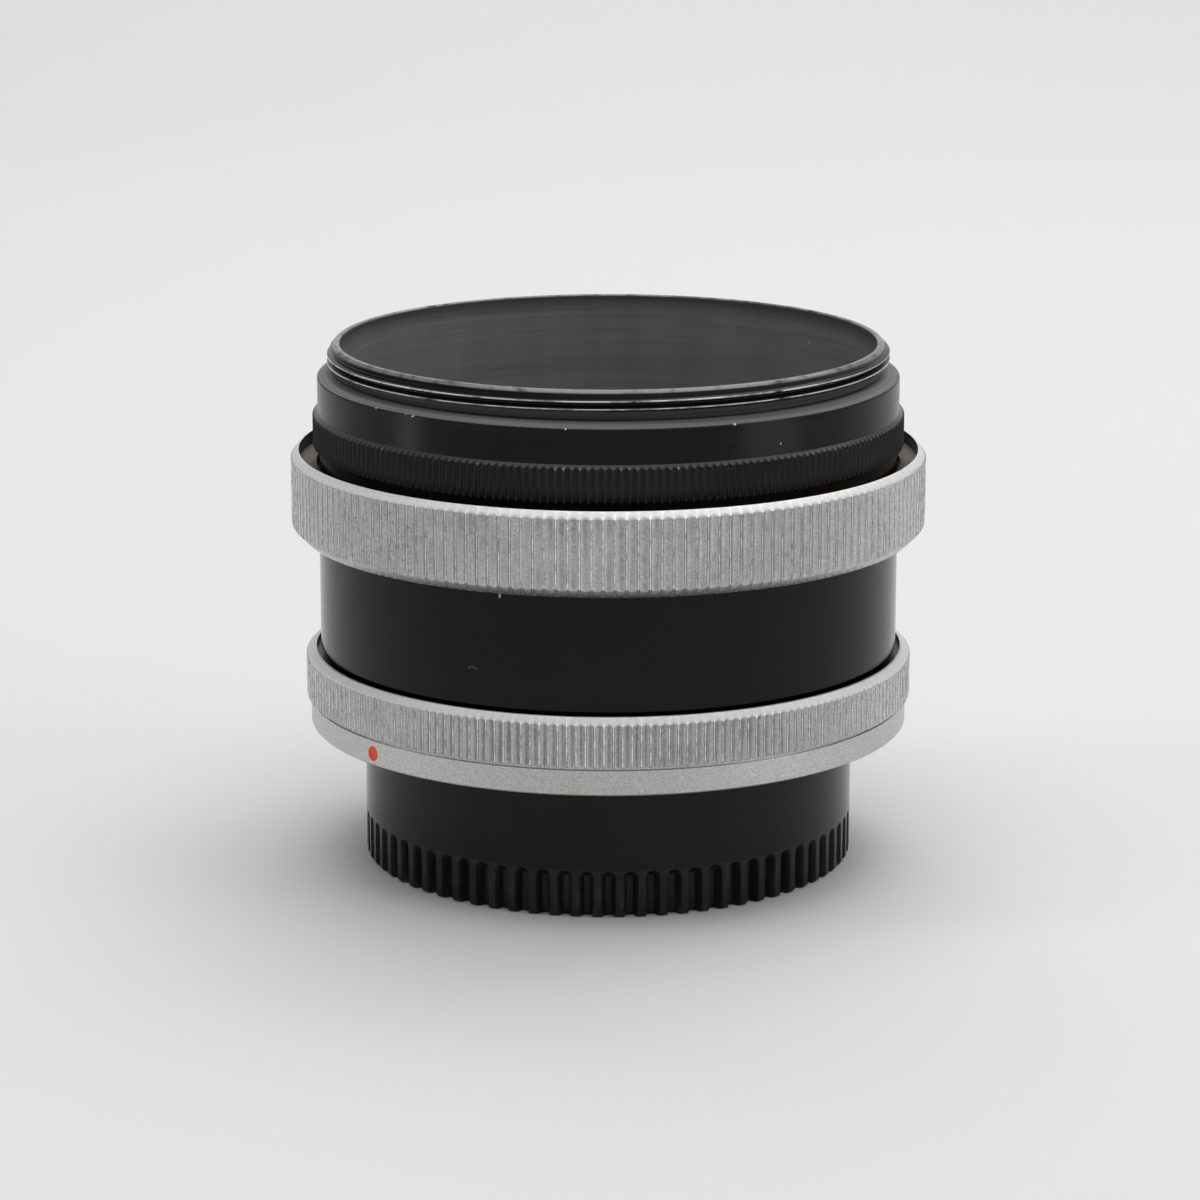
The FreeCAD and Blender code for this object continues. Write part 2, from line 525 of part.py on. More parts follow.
FRONT_BLANK = f"({FRONT_RADIUS} + dims.blank_margin)"
front_ring_blank = lock_ring_blank("front_lock_ring", [
    (FRONT_BORE, FRONT_RING_BOTTOM),
    (f"{FRONT_RADIUS} - dims.front_foot_bevel", FRONT_RING_BOTTOM),
    (FRONT_BLANK, f"{FRONT_RING_BOTTOM} + dims.front_foot_bevel"),
    (FRONT_BLANK, f"{FRONT_RING_TOP} - dims.front_top_bevel"),
    (FRONT_RIM, FRONT_RING_TOP),
    (FRONT_MOUTH, FRONT_RING_TOP),
    (FRONT_MOUTH, FRONT_LIP_TOP),
    (FRONT_LIP_RADIUS, FRONT_LIP_TOP),
    (FRONT_LIP_RADIUS, FRONT_LIP_BOTTOM),
    (FRONT_BORE, FRONT_LIP_BOTTOM),
], FRONT_BORE, FRONT_LIP_RADIUS, f"{COUPLER_NECK} + dims.stop_pin_reach + dims.turn_gap",
    FRONT_LIP_BOTTOM, FRONT_LIP_TOP, FRONT_CLAW_BOTTOM, FRONT_CLAW_TOP)
front_lock_ring = knurled("front_lock_ring", front_ring_blank, FRONT_RADIUS, "dims.front_knurl_depth",
                          "dims.front_knurl_count", FRONT_RING_BOTTOM, FRONT_RING_TOP,
                          "dims.front_groove_share")

# Extension tube
SNAP_GROOVE_RADIUS = f"({BARREL_BORE} + dims.snap_ring_depth + dims.baffle_fit)"
tube_barrel = turned("tube_barrel", [
    (BARREL_BORE, BARREL_BOTTOM),
    (BARREL_NECK, BARREL_BOTTOM),
    (BARREL_NECK, BARREL_FOOT),
    (f"{BARREL_RADIUS} - dims.barrel_edge", BARREL_FOOT),
    (BARREL_RADIUS, f"{BARREL_FOOT} + dims.barrel_edge"),
    (BARREL_RADIUS, f"{BARREL_TOP} - dims.barrel_edge"),
    (f"{BARREL_RADIUS} - dims.barrel_edge", BARREL_TOP),
    (SINK_RADIUS, BARREL_TOP),
    (SINK_RADIUS, BASE_BOTTOM),
    (BARREL_BORE, BASE_BOTTOM),
    (BARREL_BORE, SNAP_TOP),
    (SNAP_GROOVE_RADIUS, SNAP_TOP),
    (SNAP_GROOVE_RADIUS, SNAP_BOTTOM),
    (BARREL_BORE, SNAP_BOTTOM),
])
mount_thread = hole(tube_barrel, "mount_thread", FIRST_GAP_SCREW, SINK_CIRCLE,
                    f"{BASE_BOTTOM} - dims.screw_grip", SCREW_HOLE, "dims.screw_grip")
around(tube_barrel, "mount_threads", [mount_thread], "dims.lug_count")
seat_thread = hole(tube_barrel, "seat_thread", FIRST_SEAT_SCREW, NECK_CIRCLE, BARREL_BOTTOM, SCREW_HOLE,
                   "dims.screw_grip")
around(tube_barrel, "seat_threads", [seat_thread], "dims.seat_screw_count")
REAR_STOP_START = f"({BARREL_NECK} - dims.stop_pin_seat)"
REAR_STOP_HEIGHT = f"({REAR_LIP_BOTTOM} + {REAR_LIP_TOP}) / 2"
radial_hole(tube_barrel, "tube_stop_hole", STOP_ANGLE, REAR_STOP_START, REAR_STOP_HEIGHT, STOP_HOLE,
            "dims.stop_pin_seat")

rear_stop_pin = rod("rear_stop_pin", STOP_ANGLE, REAR_STOP_START, REAR_STOP_HEIGHT,
                    "dims.stop_pin_radius", STOP_PIN_LENGTH, outwards(STOP_ANGLE))

front_bayonet = turned("front_bayonet", [
    (THROAT, BASE_BOTTOM),
    (BASE_RADIUS, BASE_BOTTOM),
    (BASE_RADIUS, BARREL_TOP),
    (MOUNT_NECK, BARREL_TOP),
    (MOUNT_NECK, FRONT_SEAT),
    (THROAT, FRONT_SEAT),
])
tabs(front_bayonet, "mount_lugs", f"({THROAT} + {MOUNT_NECK}) / 2", LUG_RADIUS,
     f"{FRONT_SEAT} - dims.lug_drop", FRONT_SEAT, "dims.lug_span")
base_hole = hole(front_bayonet, "base_hole", FIRST_GAP_SCREW, SINK_CIRCLE, BASE_BOTTOM, SCREW_HOLE,
                 "dims.base_thickness")
base_sink = feature_at(front_bayonet, "PartDesign::SubtractiveCone", "base_sink", FIRST_GAP_SCREW, SINK_CIRCLE,
                       f"{BARREL_TOP} - dims.screw_head_height", Radius1=SCREW_HOLE, Radius2=SCREW_SINK,
                       Height="dims.screw_head_height")
around(front_bayonet, "base_holes", [base_hole, base_sink], "dims.lug_count")
LUG_PIN_DEPTH = "(dims.front_pin_reach + dims.turn_gap)"
hole(front_bayonet, "lug_pin_hole", FIRST_LUG, LUG_CIRCLE, f"{FRONT_SEAT} - {LUG_PIN_DEPTH}", PIN_HOLE,
     LUG_PIN_DEPTH)

front_bayonet_screws = screws("front_bayonet_screws", FIRST_GAP_SCREW, SINK_CIRCLE, "dims.lug_count",
                              BARREL_TOP, "(dims.base_thickness + dims.screw_grip)", True, True)

BAFFLE_OUTSIDE = f"({BARREL_BORE} - dims.baffle_fit)"
BAFFLE_INSIDE = f"({BAFFLE_OUTSIDE} - dims.baffle_wall)"
BAFFLE_TOP = f"({SNAP_BOTTOM} - dims.baffle_end_gap)"
groove_count = int(number(f"{BAFFLE_TOP} - {BARREL_BOTTOM}") / number("dims.baffle_groove_pitch"))
baffle_section = [
    (BAFFLE_OUTSIDE, BARREL_BOTTOM),
    (BAFFLE_OUTSIDE, BAFFLE_TOP),
    (BAFFLE_INSIDE, BAFFLE_TOP),
]
for groove in reversed(range(groove_count)):
    crest_height = f"{BARREL_BOTTOM} + {groove} * dims.baffle_groove_pitch"
    root_height = f"{crest_height} + dims.baffle_groove_pitch / 2"
    baffle_section.append((f"{BAFFLE_INSIDE} + dims.baffle_groove_depth", root_height))
    baffle_section.append((BAFFLE_INSIDE, crest_height))
tube_baffle = turned("tube_baffle", baffle_section)

SNAP_OUTSIDE = f"({BARREL_BORE} + dims.snap_ring_depth)"
SNAP_INSIDE = f"({SNAP_OUTSIDE} - dims.snap_ring_section)"
baffle_snap_ring = new_body("baffle_snap_ring")
revolve(baffle_snap_ring, "snap_ring_turned", [
    (SNAP_INSIDE, SNAP_BOTTOM),
    (SNAP_OUTSIDE, SNAP_BOTTOM),
    (SNAP_OUTSIDE, SNAP_TOP),
    (SNAP_INSIDE, SNAP_TOP),
], span="360 - dims.snap_ring_opening")

rear_seat_ring = seat_ring("rear_seat_ring", REAR_SEAT, REAR_PLATE_RADIUS)
seat_hole = hole(rear_seat_ring, "seat_hole", FIRST_SEAT_SCREW, NECK_CIRCLE, REAR_SEAT, SCREW_HOLE,
                 "dims.seat_plate_thickness")
seat_sink = feature_at(rear_seat_ring, "PartDesign::SubtractiveCone", "seat_sink", FIRST_SEAT_SCREW,
                       NECK_CIRCLE, REAR_SEAT, Radius1=SCREW_SINK, Radius2=SCREW_HOLE,
                       Height="dims.screw_head_height")
around(rear_seat_ring, "seat_holes", [seat_hole, seat_sink], "dims.seat_screw_count")
hole(rear_seat_ring, "rear_pin_hole", FIRST_LUG, LUG_CIRCLE, REAR_SEAT, PIN_HOLE, "dims.seat_plate_thickness")

rear_seat_screws = screws("rear_seat_screws", FIRST_SEAT_SCREW, NECK_CIRCLE, "dims.seat_screw_count",
                          REAR_SEAT, "(dims.seat_plate_thickness + dims.screw_grip)", False, True)

rear_locating_pin = rod("rear_locating_pin", FIRST_LUG, LUG_CIRCLE, f"{REAR_SEAT} - dims.rear_pin_reach",
                        "dims.locating_pin_radius", "dims.rear_pin_reach + dims.seat_plate_thickness")

rear_slip_washer = slip_washer("rear_slip_washer", BARREL_NECK, REAR_PLATE_RADIUS, BARREL_BOTTOM,
                               REAR_LIP_BOTTOM)

REAR_BLANK = f"({REAR_RADIUS} + dims.blank_margin)"
UNDERCUT_RADIUS = f"({BAND_RADIUS} - dims.undercut_depth)"
rear_ring_blank = lock_ring_blank("rear_lock_ring", [
    (REAR_BORE, REAR_RING_BOTTOM),
    (f"{BAND_RADIUS} - dims.rim_edge", REAR_RING_BOTTOM),
    (BAND_RADIUS, f"{REAR_RING_BOTTOM} + dims.rim_edge"),
    (BAND_RADIUS, BAND_TOP),
    (UNDERCUT_RADIUS, BAND_TOP),
    (UNDERCUT_RADIUS, REAR_TEETH_BOTTOM),
    (f"{REAR_RADIUS} - dims.rear_foot_bevel", REAR_TEETH_BOTTOM),
    (REAR_BLANK, f"{REAR_TEETH_BOTTOM} + dims.rear_foot_bevel"),
    (REAR_BLANK, f"{REAR_RING_TOP} - dims.rear_top_bevel"),
    (REAR_RIM, REAR_RING_TOP),
    (REAR_MOUTH, REAR_RING_TOP),
    (REAR_MOUTH, REAR_LIP_TOP),
    (REAR_LIP_RADIUS, REAR_LIP_TOP),
    (REAR_LIP_RADIUS, REAR_LIP_BOTTOM),
    (REAR_BORE, REAR_LIP_BOTTOM),
], REAR_BORE, REAR_LIP_RADIUS, f"{BARREL_NECK} + dims.stop_pin_reach + dims.turn_gap",
    REAR_LIP_BOTTOM, REAR_LIP_TOP, REAR_CLAW_BOTTOM, REAR_CLAW_TOP)
DOT_HEIGHT = f"{REAR_RING_BOTTOM} + dims.dot_height"
DIMPLE_FLOOR = f"{BAND_RADIUS} - dims.dimple_depth"
radial_hole(rear_ring_blank, "dimple", "dims.dot_angle", DIMPLE_FLOOR, DOT_HEIGHT, "dims.dot_radius",
            "dims.dimple_depth + dims.cut_margin")
rear_lock_ring = knurled("rear_lock_ring", rear_ring_blank, REAR_RADIUS, "dims.rear_knurl_depth",
                         "dims.rear_knurl_count", REAR_RING_BOTTOM, REAR_RING_TOP)

index_dot = rod("index_dot", "dims.dot_angle", DIMPLE_FLOOR, DOT_HEIGHT, "dims.dot_radius - dims.pin_fit",
                "dims.paint_thickness", outwards("dims.dot_angle"))

# Rear cap
RIB_FLOOR = f"({MOUNT_NECK} - dims.rib_groove_depth)"
CAP_RECESS = f"({RIB_FLOOR} - dims.cap_foot_width)"
CAP_INSIDE = f"({MOUNT_NECK} - dims.cap_wall)"
CAP_MOUTH = f"({MOUNT_NECK} - dims.cap_mouth_wall)"
cap_blank = turned("rear_cap_blank", [
    ("0", "dims.cap_recess_depth"),
    (CAP_RECESS, "dims.cap_recess_depth"),
    (f"{CAP_RECESS} + dims.cap_edge", "0"),
    (f"{MOUNT_NECK} - dims.cap_edge", "0"),
    (MOUNT_NECK, "dims.cap_edge"),
    (MOUNT_NECK, CAP_TOP),
    (CAP_MOUTH, CAP_TOP),
    (CAP_MOUTH, CAP_MOUTH_BOTTOM),
    (CAP_INSIDE, CAP_MOUTH_BOTTOM),
    (CAP_INSIDE, f"{CAP_FLOOR_TOP} + dims.cap_edge"),
    (f"{CAP_INSIDE} - dims.cap_edge", CAP_FLOOR_TOP),
    ("0", CAP_FLOOR_TOP),
])
tabs(cap_blank, "cap_lugs", f"({CAP_MOUTH} + {MOUNT_NECK}) / 2", LUG_RADIUS,
     CAP_LUG_BOTTOM, f"{CAP_LUG_BOTTOM} + dims.cap_lug_thickness", "dims.lug_span")


def arch(radius, width, bottom, spring):
    """The outline of a rib groove at one radius: a flat foot, two sides and a round top."""
    half = width / 2
    foot = [Vector(radius, -half, bottom), Vector(radius, half, bottom)]
    sides = [Vector(radius, -half, spring), Vector(radius, half, spring)]
    crown = Part.Arc(sides[1], Vector(radius, 0, spring + half), sides[0])
    return Part.Wire([
        Part.makeLine(foot[0], foot[1]),
        Part.makeLine(foot[1], sides[1]),
        crown.toShape(),
        Part.makeLine(sides[0], foot[0]),
    ])


# A groove narrows towards its floor, so its cutter is a loft between two arches
floor_radius, wall_radius = number(RIB_FLOOR), number(MOUNT_NECK)
pitch_angle = 2 * math.pi / number("dims.rib_count")
floor_width = floor_radius * pitch_angle * number("dims.rib_floor_share")
mouth_width = wall_radius * pitch_angle * (1 - number("dims.rib_top_share"))
flare = (mouth_width - floor_width) / (wall_radius - floor_radius)
cut_margin = number("dims.cut_margin")
spring_height = number("dims.rib_height") - mouth_width / 2
groove_cutter = Part.makeLoft([
    arch(floor_radius, floor_width, -cut_margin, spring_height),
    arch(wall_radius + cut_margin, mouth_width + cut_margin * flare, -cut_margin, spring_height),
], True, True)
groove_cutters = []
for groove in range(round(number("dims.rib_count"))):
    turn = FreeCAD.Rotation(Vector(0, 0, 1), math.degrees(groove * pitch_angle))
    groove_cutters.append(groove_cutter.transformed(FreeCAD.Placement(Vector(), turn).toMatrix()))
rib_grooves = doc.addObject("Part::Feature", "rib_grooves")
rib_grooves.Shape = Part.makeCompound(groove_cutters)
rear_cap = doc.addObject("Part::Cut", "rear_cap_ribbed")
rear_cap.Base = cap_blank
rear_cap.Tool = rib_grooves
rear_cap.Refine = False
rear_cap.Label = "rear_cap"

doc.recompute()

SUB_PARTS = [
    coupler_body, front_lock_ring, front_slip_washer, coupler_seat_ring, coupler_seat_screws,
    coupler_locating_pin, front_stop_pin, tube_barrel, front_bayonet, front_bayonet_screws, tube_baffle,
    baffle_snap_ring, rear_lock_ring, index_dot, rear_slip_washer, rear_seat_ring, rear_seat_screws,
    rear_locating_pin, rear_stop_pin, rear_cap,
]

for item in doc.Objects:
    if "Invalid" in item.State or "Error" in item.State:
        raise RuntimeError(f"{item.Name} could not be made: {item.State}")
for part in SUB_PARTS:
    if part.Shape.isNull() or not part.Shape.isValid():
        raise RuntimeError(f"{part.Label} has no valid shape")

os.makedirs("parts", exist_ok=True)
for part in SUB_PARTS:
    part.Shape.exportStep(os.path.join("parts", part.Label + ".step"))
    box = part.Shape.BoundBox
    solids = len(part.Shape.Solids)
    print(f"{part.Label}: {solids} solids, {part.Shape.Volume:.1f} mm3, z {box.ZMin:.2f} to {box.ZMax:.2f}")
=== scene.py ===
# %% [markdown]
# # A macro coupler on its extension tube
# The object is a stack of turned rings: a black coupler with a filter thread, a wide knurled
# lock ring, a black tube, a lower lock ring with a red dot, and a ribbed cap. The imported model
# gives every piece its place. This lesson turns finer versions of the pieces that show, and
# gives each of them its finish.

# %% Load the frame
import math

import bmesh
import bpy
from mathutils import Matrix, Vector


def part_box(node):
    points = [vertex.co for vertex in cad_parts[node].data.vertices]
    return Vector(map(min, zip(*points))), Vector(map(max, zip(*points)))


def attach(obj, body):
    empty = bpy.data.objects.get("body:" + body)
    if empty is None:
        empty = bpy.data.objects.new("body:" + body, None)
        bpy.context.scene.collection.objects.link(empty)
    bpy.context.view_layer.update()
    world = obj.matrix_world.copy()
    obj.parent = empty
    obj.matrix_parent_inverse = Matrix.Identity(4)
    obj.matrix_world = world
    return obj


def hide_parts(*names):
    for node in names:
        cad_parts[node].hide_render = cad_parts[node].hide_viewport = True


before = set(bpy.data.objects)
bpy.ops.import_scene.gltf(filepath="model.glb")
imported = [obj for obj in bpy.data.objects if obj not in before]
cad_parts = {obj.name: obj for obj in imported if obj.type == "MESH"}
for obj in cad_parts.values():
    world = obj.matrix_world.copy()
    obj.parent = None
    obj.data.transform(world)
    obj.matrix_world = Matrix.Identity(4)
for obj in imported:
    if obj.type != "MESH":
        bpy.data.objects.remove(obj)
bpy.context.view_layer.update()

# %% [markdown]
# ## Measures
# Lathe work is read in millimetres, so the outlines below are in millimetres too, and one helper
# scales them. Each piece takes its radius and its two heights from the frame, and the small steps,
# bevels and grooves are named where they are first used.

# %% Millimetres, and what the frame says of a turned piece
MM = 0.001
FULL_TURN = 2 * math.pi


def reach(node):
    """Outer radius, bottom and top of a turned node, in millimetres."""
    low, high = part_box(node)
    return high.x / MM, low.z / MM, high.z / MM


coupler_crest, coupler_bottom, coupler_top = reach("coupler_body")
wide_crest, wide_bottom, wide_top = reach("front_lock_ring")
tube_radius, tube_bottom, tube_top = reach("tube_barrel")
lower_crest, lower_bottom, lower_top = reach("rear_lock_ring")
lug_radius, cap_bottom, cap_top = reach("rear_cap")
print(f"radii in mm: coupler {coupler_crest:.2f}, wide ring {wide_crest:.2f}")
print(f"radii in mm: tube {tube_radius:.2f}, lower ring {lower_crest:.2f}, cap's lugs {lug_radius:.2f}")

# %% [markdown]
# ## Turning a piece
# A turned piece is one outline swept round the optical axis. It could be a curve with a Screw
# modifier, but a bmesh spin gives a mesh that later steps can cut and knurl. Real edges are never
# sharp: a small bevel on every hard edge catches the light as the real broken edges do.
#
# A knurl needs over a thousand steps, and a spin slows down as its mesh grows. So only a small
# sector is spun, and it is doubled until it closes the ring.

# %% Spin
STEPS = 360
SECTOR_STEPS = 60
MERGE = 0.0005 * MM


def spun(section, steps, start, span):
    """Sweeps a closed section of (radius, height) points. A part of a turn keeps its two end faces."""
    shape = bmesh.new()
    corners = [shape.verts.new((radius * MM, 0, height * MM)) for radius, height in section]
    sides = [shape.edges.new(pair) for pair in zip(corners, corners[1:] + corners[:1])]
    end_face = [] if span == 360 else [shape.faces.new(corners)]
    sectors = 1
    while not end_face and steps > SECTOR_STEPS and steps % 2 == 0:
        steps //= 2
        sectors *= 2
    bmesh.ops.rotate(shape, verts=corners, matrix=Matrix.Rotation(math.radians(start), 3, "Z"))
    closes = sectors == 1 and not end_face
    bmesh.ops.spin(shape, geom=end_face or corners + sides, axis=(0, 0, 1), cent=(0, 0, 0),
                   angle=math.radians(span / sectors), steps=steps, use_merge=closes)
    while sectors > 1:
        copy = bmesh.ops.duplicate(shape, geom=shape.verts[:] + shape.edges[:] + shape.faces[:])
        copied = [item for item in copy["geom"] if isinstance(item, bmesh.types.BMVert)]
        onwards = Matrix.Rotation(math.radians(span / sectors), 3, "Z")
        bmesh.ops.rotate(shape, verts=copied, matrix=onwards)
        sectors //= 2
    return shape


def turned(outline, steps=STEPS, start=0, span=360):
    """A closed bmesh swept from an outline of (radius, height) points, by a span of degrees."""
    shape = spun(outline, steps, start, span)
    bmesh.ops.remove_doubles(shape, verts=shape.verts, dist=MERGE)
    bmesh.ops.recalc_face_normals(shape, faces=shape.faces)
    return shape


# %% [markdown]
# ## From shapes to a piece
# A piece may be made of several closed shapes that overlap, as a ring and its claws do. They are put
# into one mesh and not joined by a Boolean: what overlaps lies inside the metal, and the meshes stay
# clean. The finished piece rides on its body and takes the place of its CAD node.

# %% Broken edges, and pieces made of several shapes
BROKEN_EDGE = 0.035
SHARP_ANGLE = math.radians(32)


def broken(shape, width=BROKEN_EDGE):
    """Takes the sharpness off every hard edge of a shape."""
    hard = [e for e in shape.edges if e.is_manifold and e.calc_face_angle() > SHARP_ANGLE]
    bmesh.ops.bevel(shape, geom=hard, offset=width * MM, affect="EDGES", segments=2, profile=0.5,
                    clamp_overlap=True, material=-1)
    return shape


def merged(*shapes):
    """Puts several bmeshes into the first of them."""
    for other in shapes[1:]:
        spare = bpy.data.meshes.new("spare")
        other.to_mesh(spare)
        other.free()
        shapes[0].from_mesh(spare)
        bpy.data.meshes.remove(spare)
    return shapes[0]


def flat_walls(made):
    """Keeps the shading of broken edges off the large faces beside them."""
    made.modifiers.new("flat_walls", "WEIGHTED_NORMAL").keep_sharp = True


def shaded(shape):
    """Smooth shading all over, with a sharp line along each hard edge."""
    bmesh.ops.remove_doubles(shape, verts=shape.verts, dist=MERGE)
    for face in shape.faces:
        face.smooth = True
    for e in shape.edges:
        e.smooth = e.is_manifold and e.calc_face_angle() < SHARP_ANGLE
    return shape


def piece(name, shape, body, slot, *nodes):
    """Makes an object of a bmesh, which rides on a body and stands for its CAD nodes."""
    mesh = bpy.data.meshes.new(name)
    shaded(shape).to_mesh(mesh)
    shape.free()
    made = bpy.data.objects.new(name, mesh)
    bpy.context.scene.collection.objects.link(made)
    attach(made, body)
    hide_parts(*nodes)
    flat_walls(made)
    triangles = sum(len(polygon.vertices) - 2 for polygon in mesh.polygons)
    print(f"{name}: {triangles} triangles, on {body}")
    return made


# %% [markdown]
# ## Cutting a knurl
# A straight knurl is a row of grooves with sharp crests between them, cut into the turned blank. A
# groove runs out through the blank's bevels, so it ends in a small arch at the top and in a small
# tongue at the bottom. The spin gives each groove a few columns of vertices. This step sinks each
# column to the groove's radius at its angle, and slides what sinks along the bevel that it was on.
# A vertex layer remembers how deep a point lies in its groove, because dirt gathers there.

# %% Sink the columns of a blank
GROOVE = "groove"
CREST_LAND = 0.02
TOUCH = 0.01  # heights and radii that are this close count as the same
SHARP_GROOVE = 1.15  # power of a groove that is nearly a plain V
ROUND_GROOVE = 1.6  # power of a groove with a rounded floor


def knurl(shape, crest, depth, count, power, foot, top, slopes=(1, 1)):
    """Grooves whose floor rises by a power of the way out to the crests, in millimetres."""
    layer = shape.verts.layers.float.new(GROOVE)
    middle = (foot + top) / 2
    for vert in shape.verts:
        radius = vert.co.xy.length / MM
        height = vert.co.z / MM
        if radius < crest - depth - TOUCH or not foot - TOUCH < height < top + TOUCH:
            continue
        turn = math.atan2(vert.co.y, vert.co.x) / FULL_TURN * count % 1
        sunk_share = 1 - (2 * min(turn, 1 - turn)) ** power
        vert[layer] = sunk_share
        sunk = radius - crest + max(CREST_LAND, depth * sunk_share)
        if sunk > 0:
            height += sunk * (slopes[1] if height > middle else -slopes[0])
            vert.co.xy *= (radius - sunk) / radius
            vert.co.z = min(max(height, foot), top) * MM
    return shape


# %% [markdown]
# ## Coupler
# The black coupler carries its own fine grip, a sloping shoulder and the male filter thread. It is
# turned in two parts that meet at the foot of the thread's neck: the lower one needs six columns
# for each tooth of the grip, and the upper one doesn't.

# %% Coupler: flange, grip and wall
SHOW = 0.01  # what a visible piece stays inside its CAD solid
OVERLAP = 0.01  # what shapes of one piece reach into each other
GRIP_COUNT = 240
GRIP_COLUMNS = 6
grip_depth = 0.24
wall_radius = 30.05
neck_radius = 29.9
bore_radius = 27.65
flange_bore = 24.6
flange_top = coupler_bottom + 1.8
grip = coupler_crest - SHOW
grip_low, grip_high = wide_top + 0.56, wide_top + 3.7
grip_bevel = 0.4
lead = 0.85
chamfer_foot = coupler_top - lead
thread_low = chamfer_foot - 1.25
thread_neck = 28.1
shoulder = thread_low - 1.35
shoulder_edge = 0.12
join = shoulder + 0.5

coupler_shape = turned([
    (flange_bore, coupler_bottom),
    (neck_radius, coupler_bottom),
    (neck_radius, grip_low - grip_bevel),
    (grip, grip_low),
    (grip, grip_high),
    (wall_radius, grip_high + grip_bevel),
    (wall_radius, shoulder - shoulder_edge),
    (wall_radius - shoulder_edge, shoulder),
    (thread_neck, join),
    (bore_radius, join),
    (bore_radius, flange_top),
    (flange_bore, flange_top),
], steps=GRIP_COUNT * GRIP_COLUMNS)
grip_slopes = (grip_bevel / (grip - neck_radius), grip_bevel / (grip - wall_radius))
knurl(coupler_shape, grip, grip_depth, GRIP_COUNT, SHARP_GROOVE,
      grip_low - grip_bevel, grip_high + grip_bevel, grip_slopes)
broken(coupler_shape)
print(f"grip: {GRIP_COUNT} teeth, wall r {wall_radius}, shoulder at {shoulder:.2f} mm")

# %% [markdown]
# ## Filter thread
# The thread is a real helix: one tooth is swept round with a rise at each step. Rings stacked up
# would be simpler, but their lines never cross the rim, and a real thread's do. The tooth is then
# cut back in three ways, as on the lathe: by the lead chamfer at the top, by the flat top of the rim,
# and by the undercut at the bottom, out of which the thread grows. The height of the crest at any
# angle follows from the pitch, so each vertex can be drawn in to the flank that it should lie on.

# %% Filter thread
THREAD_STEPS = 256
thread_crest = 29.0
thread_pitch = 0.75
thread_depth = 0.58
thread_root = thread_crest - thread_depth
crest_land = 0.05
root_half = 0.33
root_overlap = 0.2
bore_chamfer = 0.15
crest_at_front = thread_low + 0.34
front = -math.pi / 2

rim_shape = broken(turned([
    (bore_radius, join - OVERLAP),
    (thread_neck, join - OVERLAP),
    (thread_neck, thread_low),
    (thread_root, thread_low),
    (thread_root, chamfer_foot + thread_depth + 2 * OVERLAP),
    (thread_crest - lead + 2 * OVERLAP, coupler_top - SHOW),
    (bore_radius + bore_chamfer, coupler_top - SHOW),
    (bore_radius, coupler_top - SHOW - bore_chamfer),
], steps=THREAD_STEPS * 2))

# %% Sweep the tooth and cut it back
tooth = [
    (thread_root - root_overlap, -root_half - 2 * OVERLAP),
    (thread_root, -root_half),
    (thread_crest, -crest_land),
    (thread_crest, crest_land),
    (thread_root, root_half),
    (thread_root - root_overlap, root_half + 2 * OVERLAP),
]
first_turn = -1.2
thread_turns = 4.4
first_crest = crest_at_front + thread_pitch * first_turn
thread = bmesh.new()
tooth_corners = [thread.verts.new((radius * MM, 0, (first_crest + rise) * MM)) for radius, rise in tooth]
tooth_face = thread.faces.new(tooth_corners)
turn_in = Matrix.Rotation(front + FULL_TURN * first_turn, 3, "Z")
rise_of_a_step = (0, 0, thread_pitch * MM / THREAD_STEPS)
bmesh.ops.rotate(thread, verts=tooth_corners, matrix=turn_in)
bmesh.ops.spin(thread, geom=[tooth_face], axis=(0, 0, 1), cent=(0, 0, 0), dvec=rise_of_a_step,
               angle=FULL_TURN * thread_turns, steps=round(THREAD_STEPS * thread_turns))
bmesh.ops.recalc_face_normals(thread, faces=thread.faces)
flank_slope = thread_depth / (root_half - crest_land)
deepest = thread_neck - 0.1
for vert in thread.verts:
    radius = vert.co.xy.length / MM
    height = vert.co.z / MM
    turn = (math.atan2(vert.co.y, vert.co.x) - front) / FULL_TURN
    loops = round((height - crest_at_front) / thread_pitch - turn)
    crest_height = crest_at_front + thread_pitch * (turn + loops)
    height = min(max(height, thread_low + OVERLAP), coupler_top - SHOW - 2 * OVERLAP)
    flank = thread_crest - max(0, abs(height - crest_height) - crest_land) * flank_slope
    chamfer = thread_crest - (height - chamfer_foot)
    vert.co.xy *= max(min(radius, flank, chamfer), deepest) / radius
    vert.co.z = height * MM
bmesh.ops.dissolve_degenerate(thread, edges=thread.edges, dist=MERGE)
coupler = piece("coupler", merged(coupler_shape, rim_shape, thread), "tube", "black_anodised",
                "coupler_body")

# %% [markdown]
# ## Wide lock ring
# The silver ring turns round the coupler's neck. Its grooves are wide and rounded, with a narrow
# crest between each two. Inside it has a lip and three claws, which grip the tube's lugs. A claw is
# a short arc of a ring, so the same sweep makes it with a smaller span.

# %% Wide lock ring
CLAW_CENTRES = (90, 210, 330)
CLAW_SPAN = 50
LUG_SPAN = 55
claw_inner = 26.0
claw_height = 1.75
claw_root = 0.25  # what a claw reaches into its ring


def tabs(inner, outer, low, high, span):
    """Three short arcs of a ring: lugs or claws."""
    section = [(inner, low), (outer, low), (outer, high), (inner, high)]
    arcs = [turned(section, 40, centre - span / 2, span) for centre in CLAW_CENTRES]
    return broken(merged(*arcs))


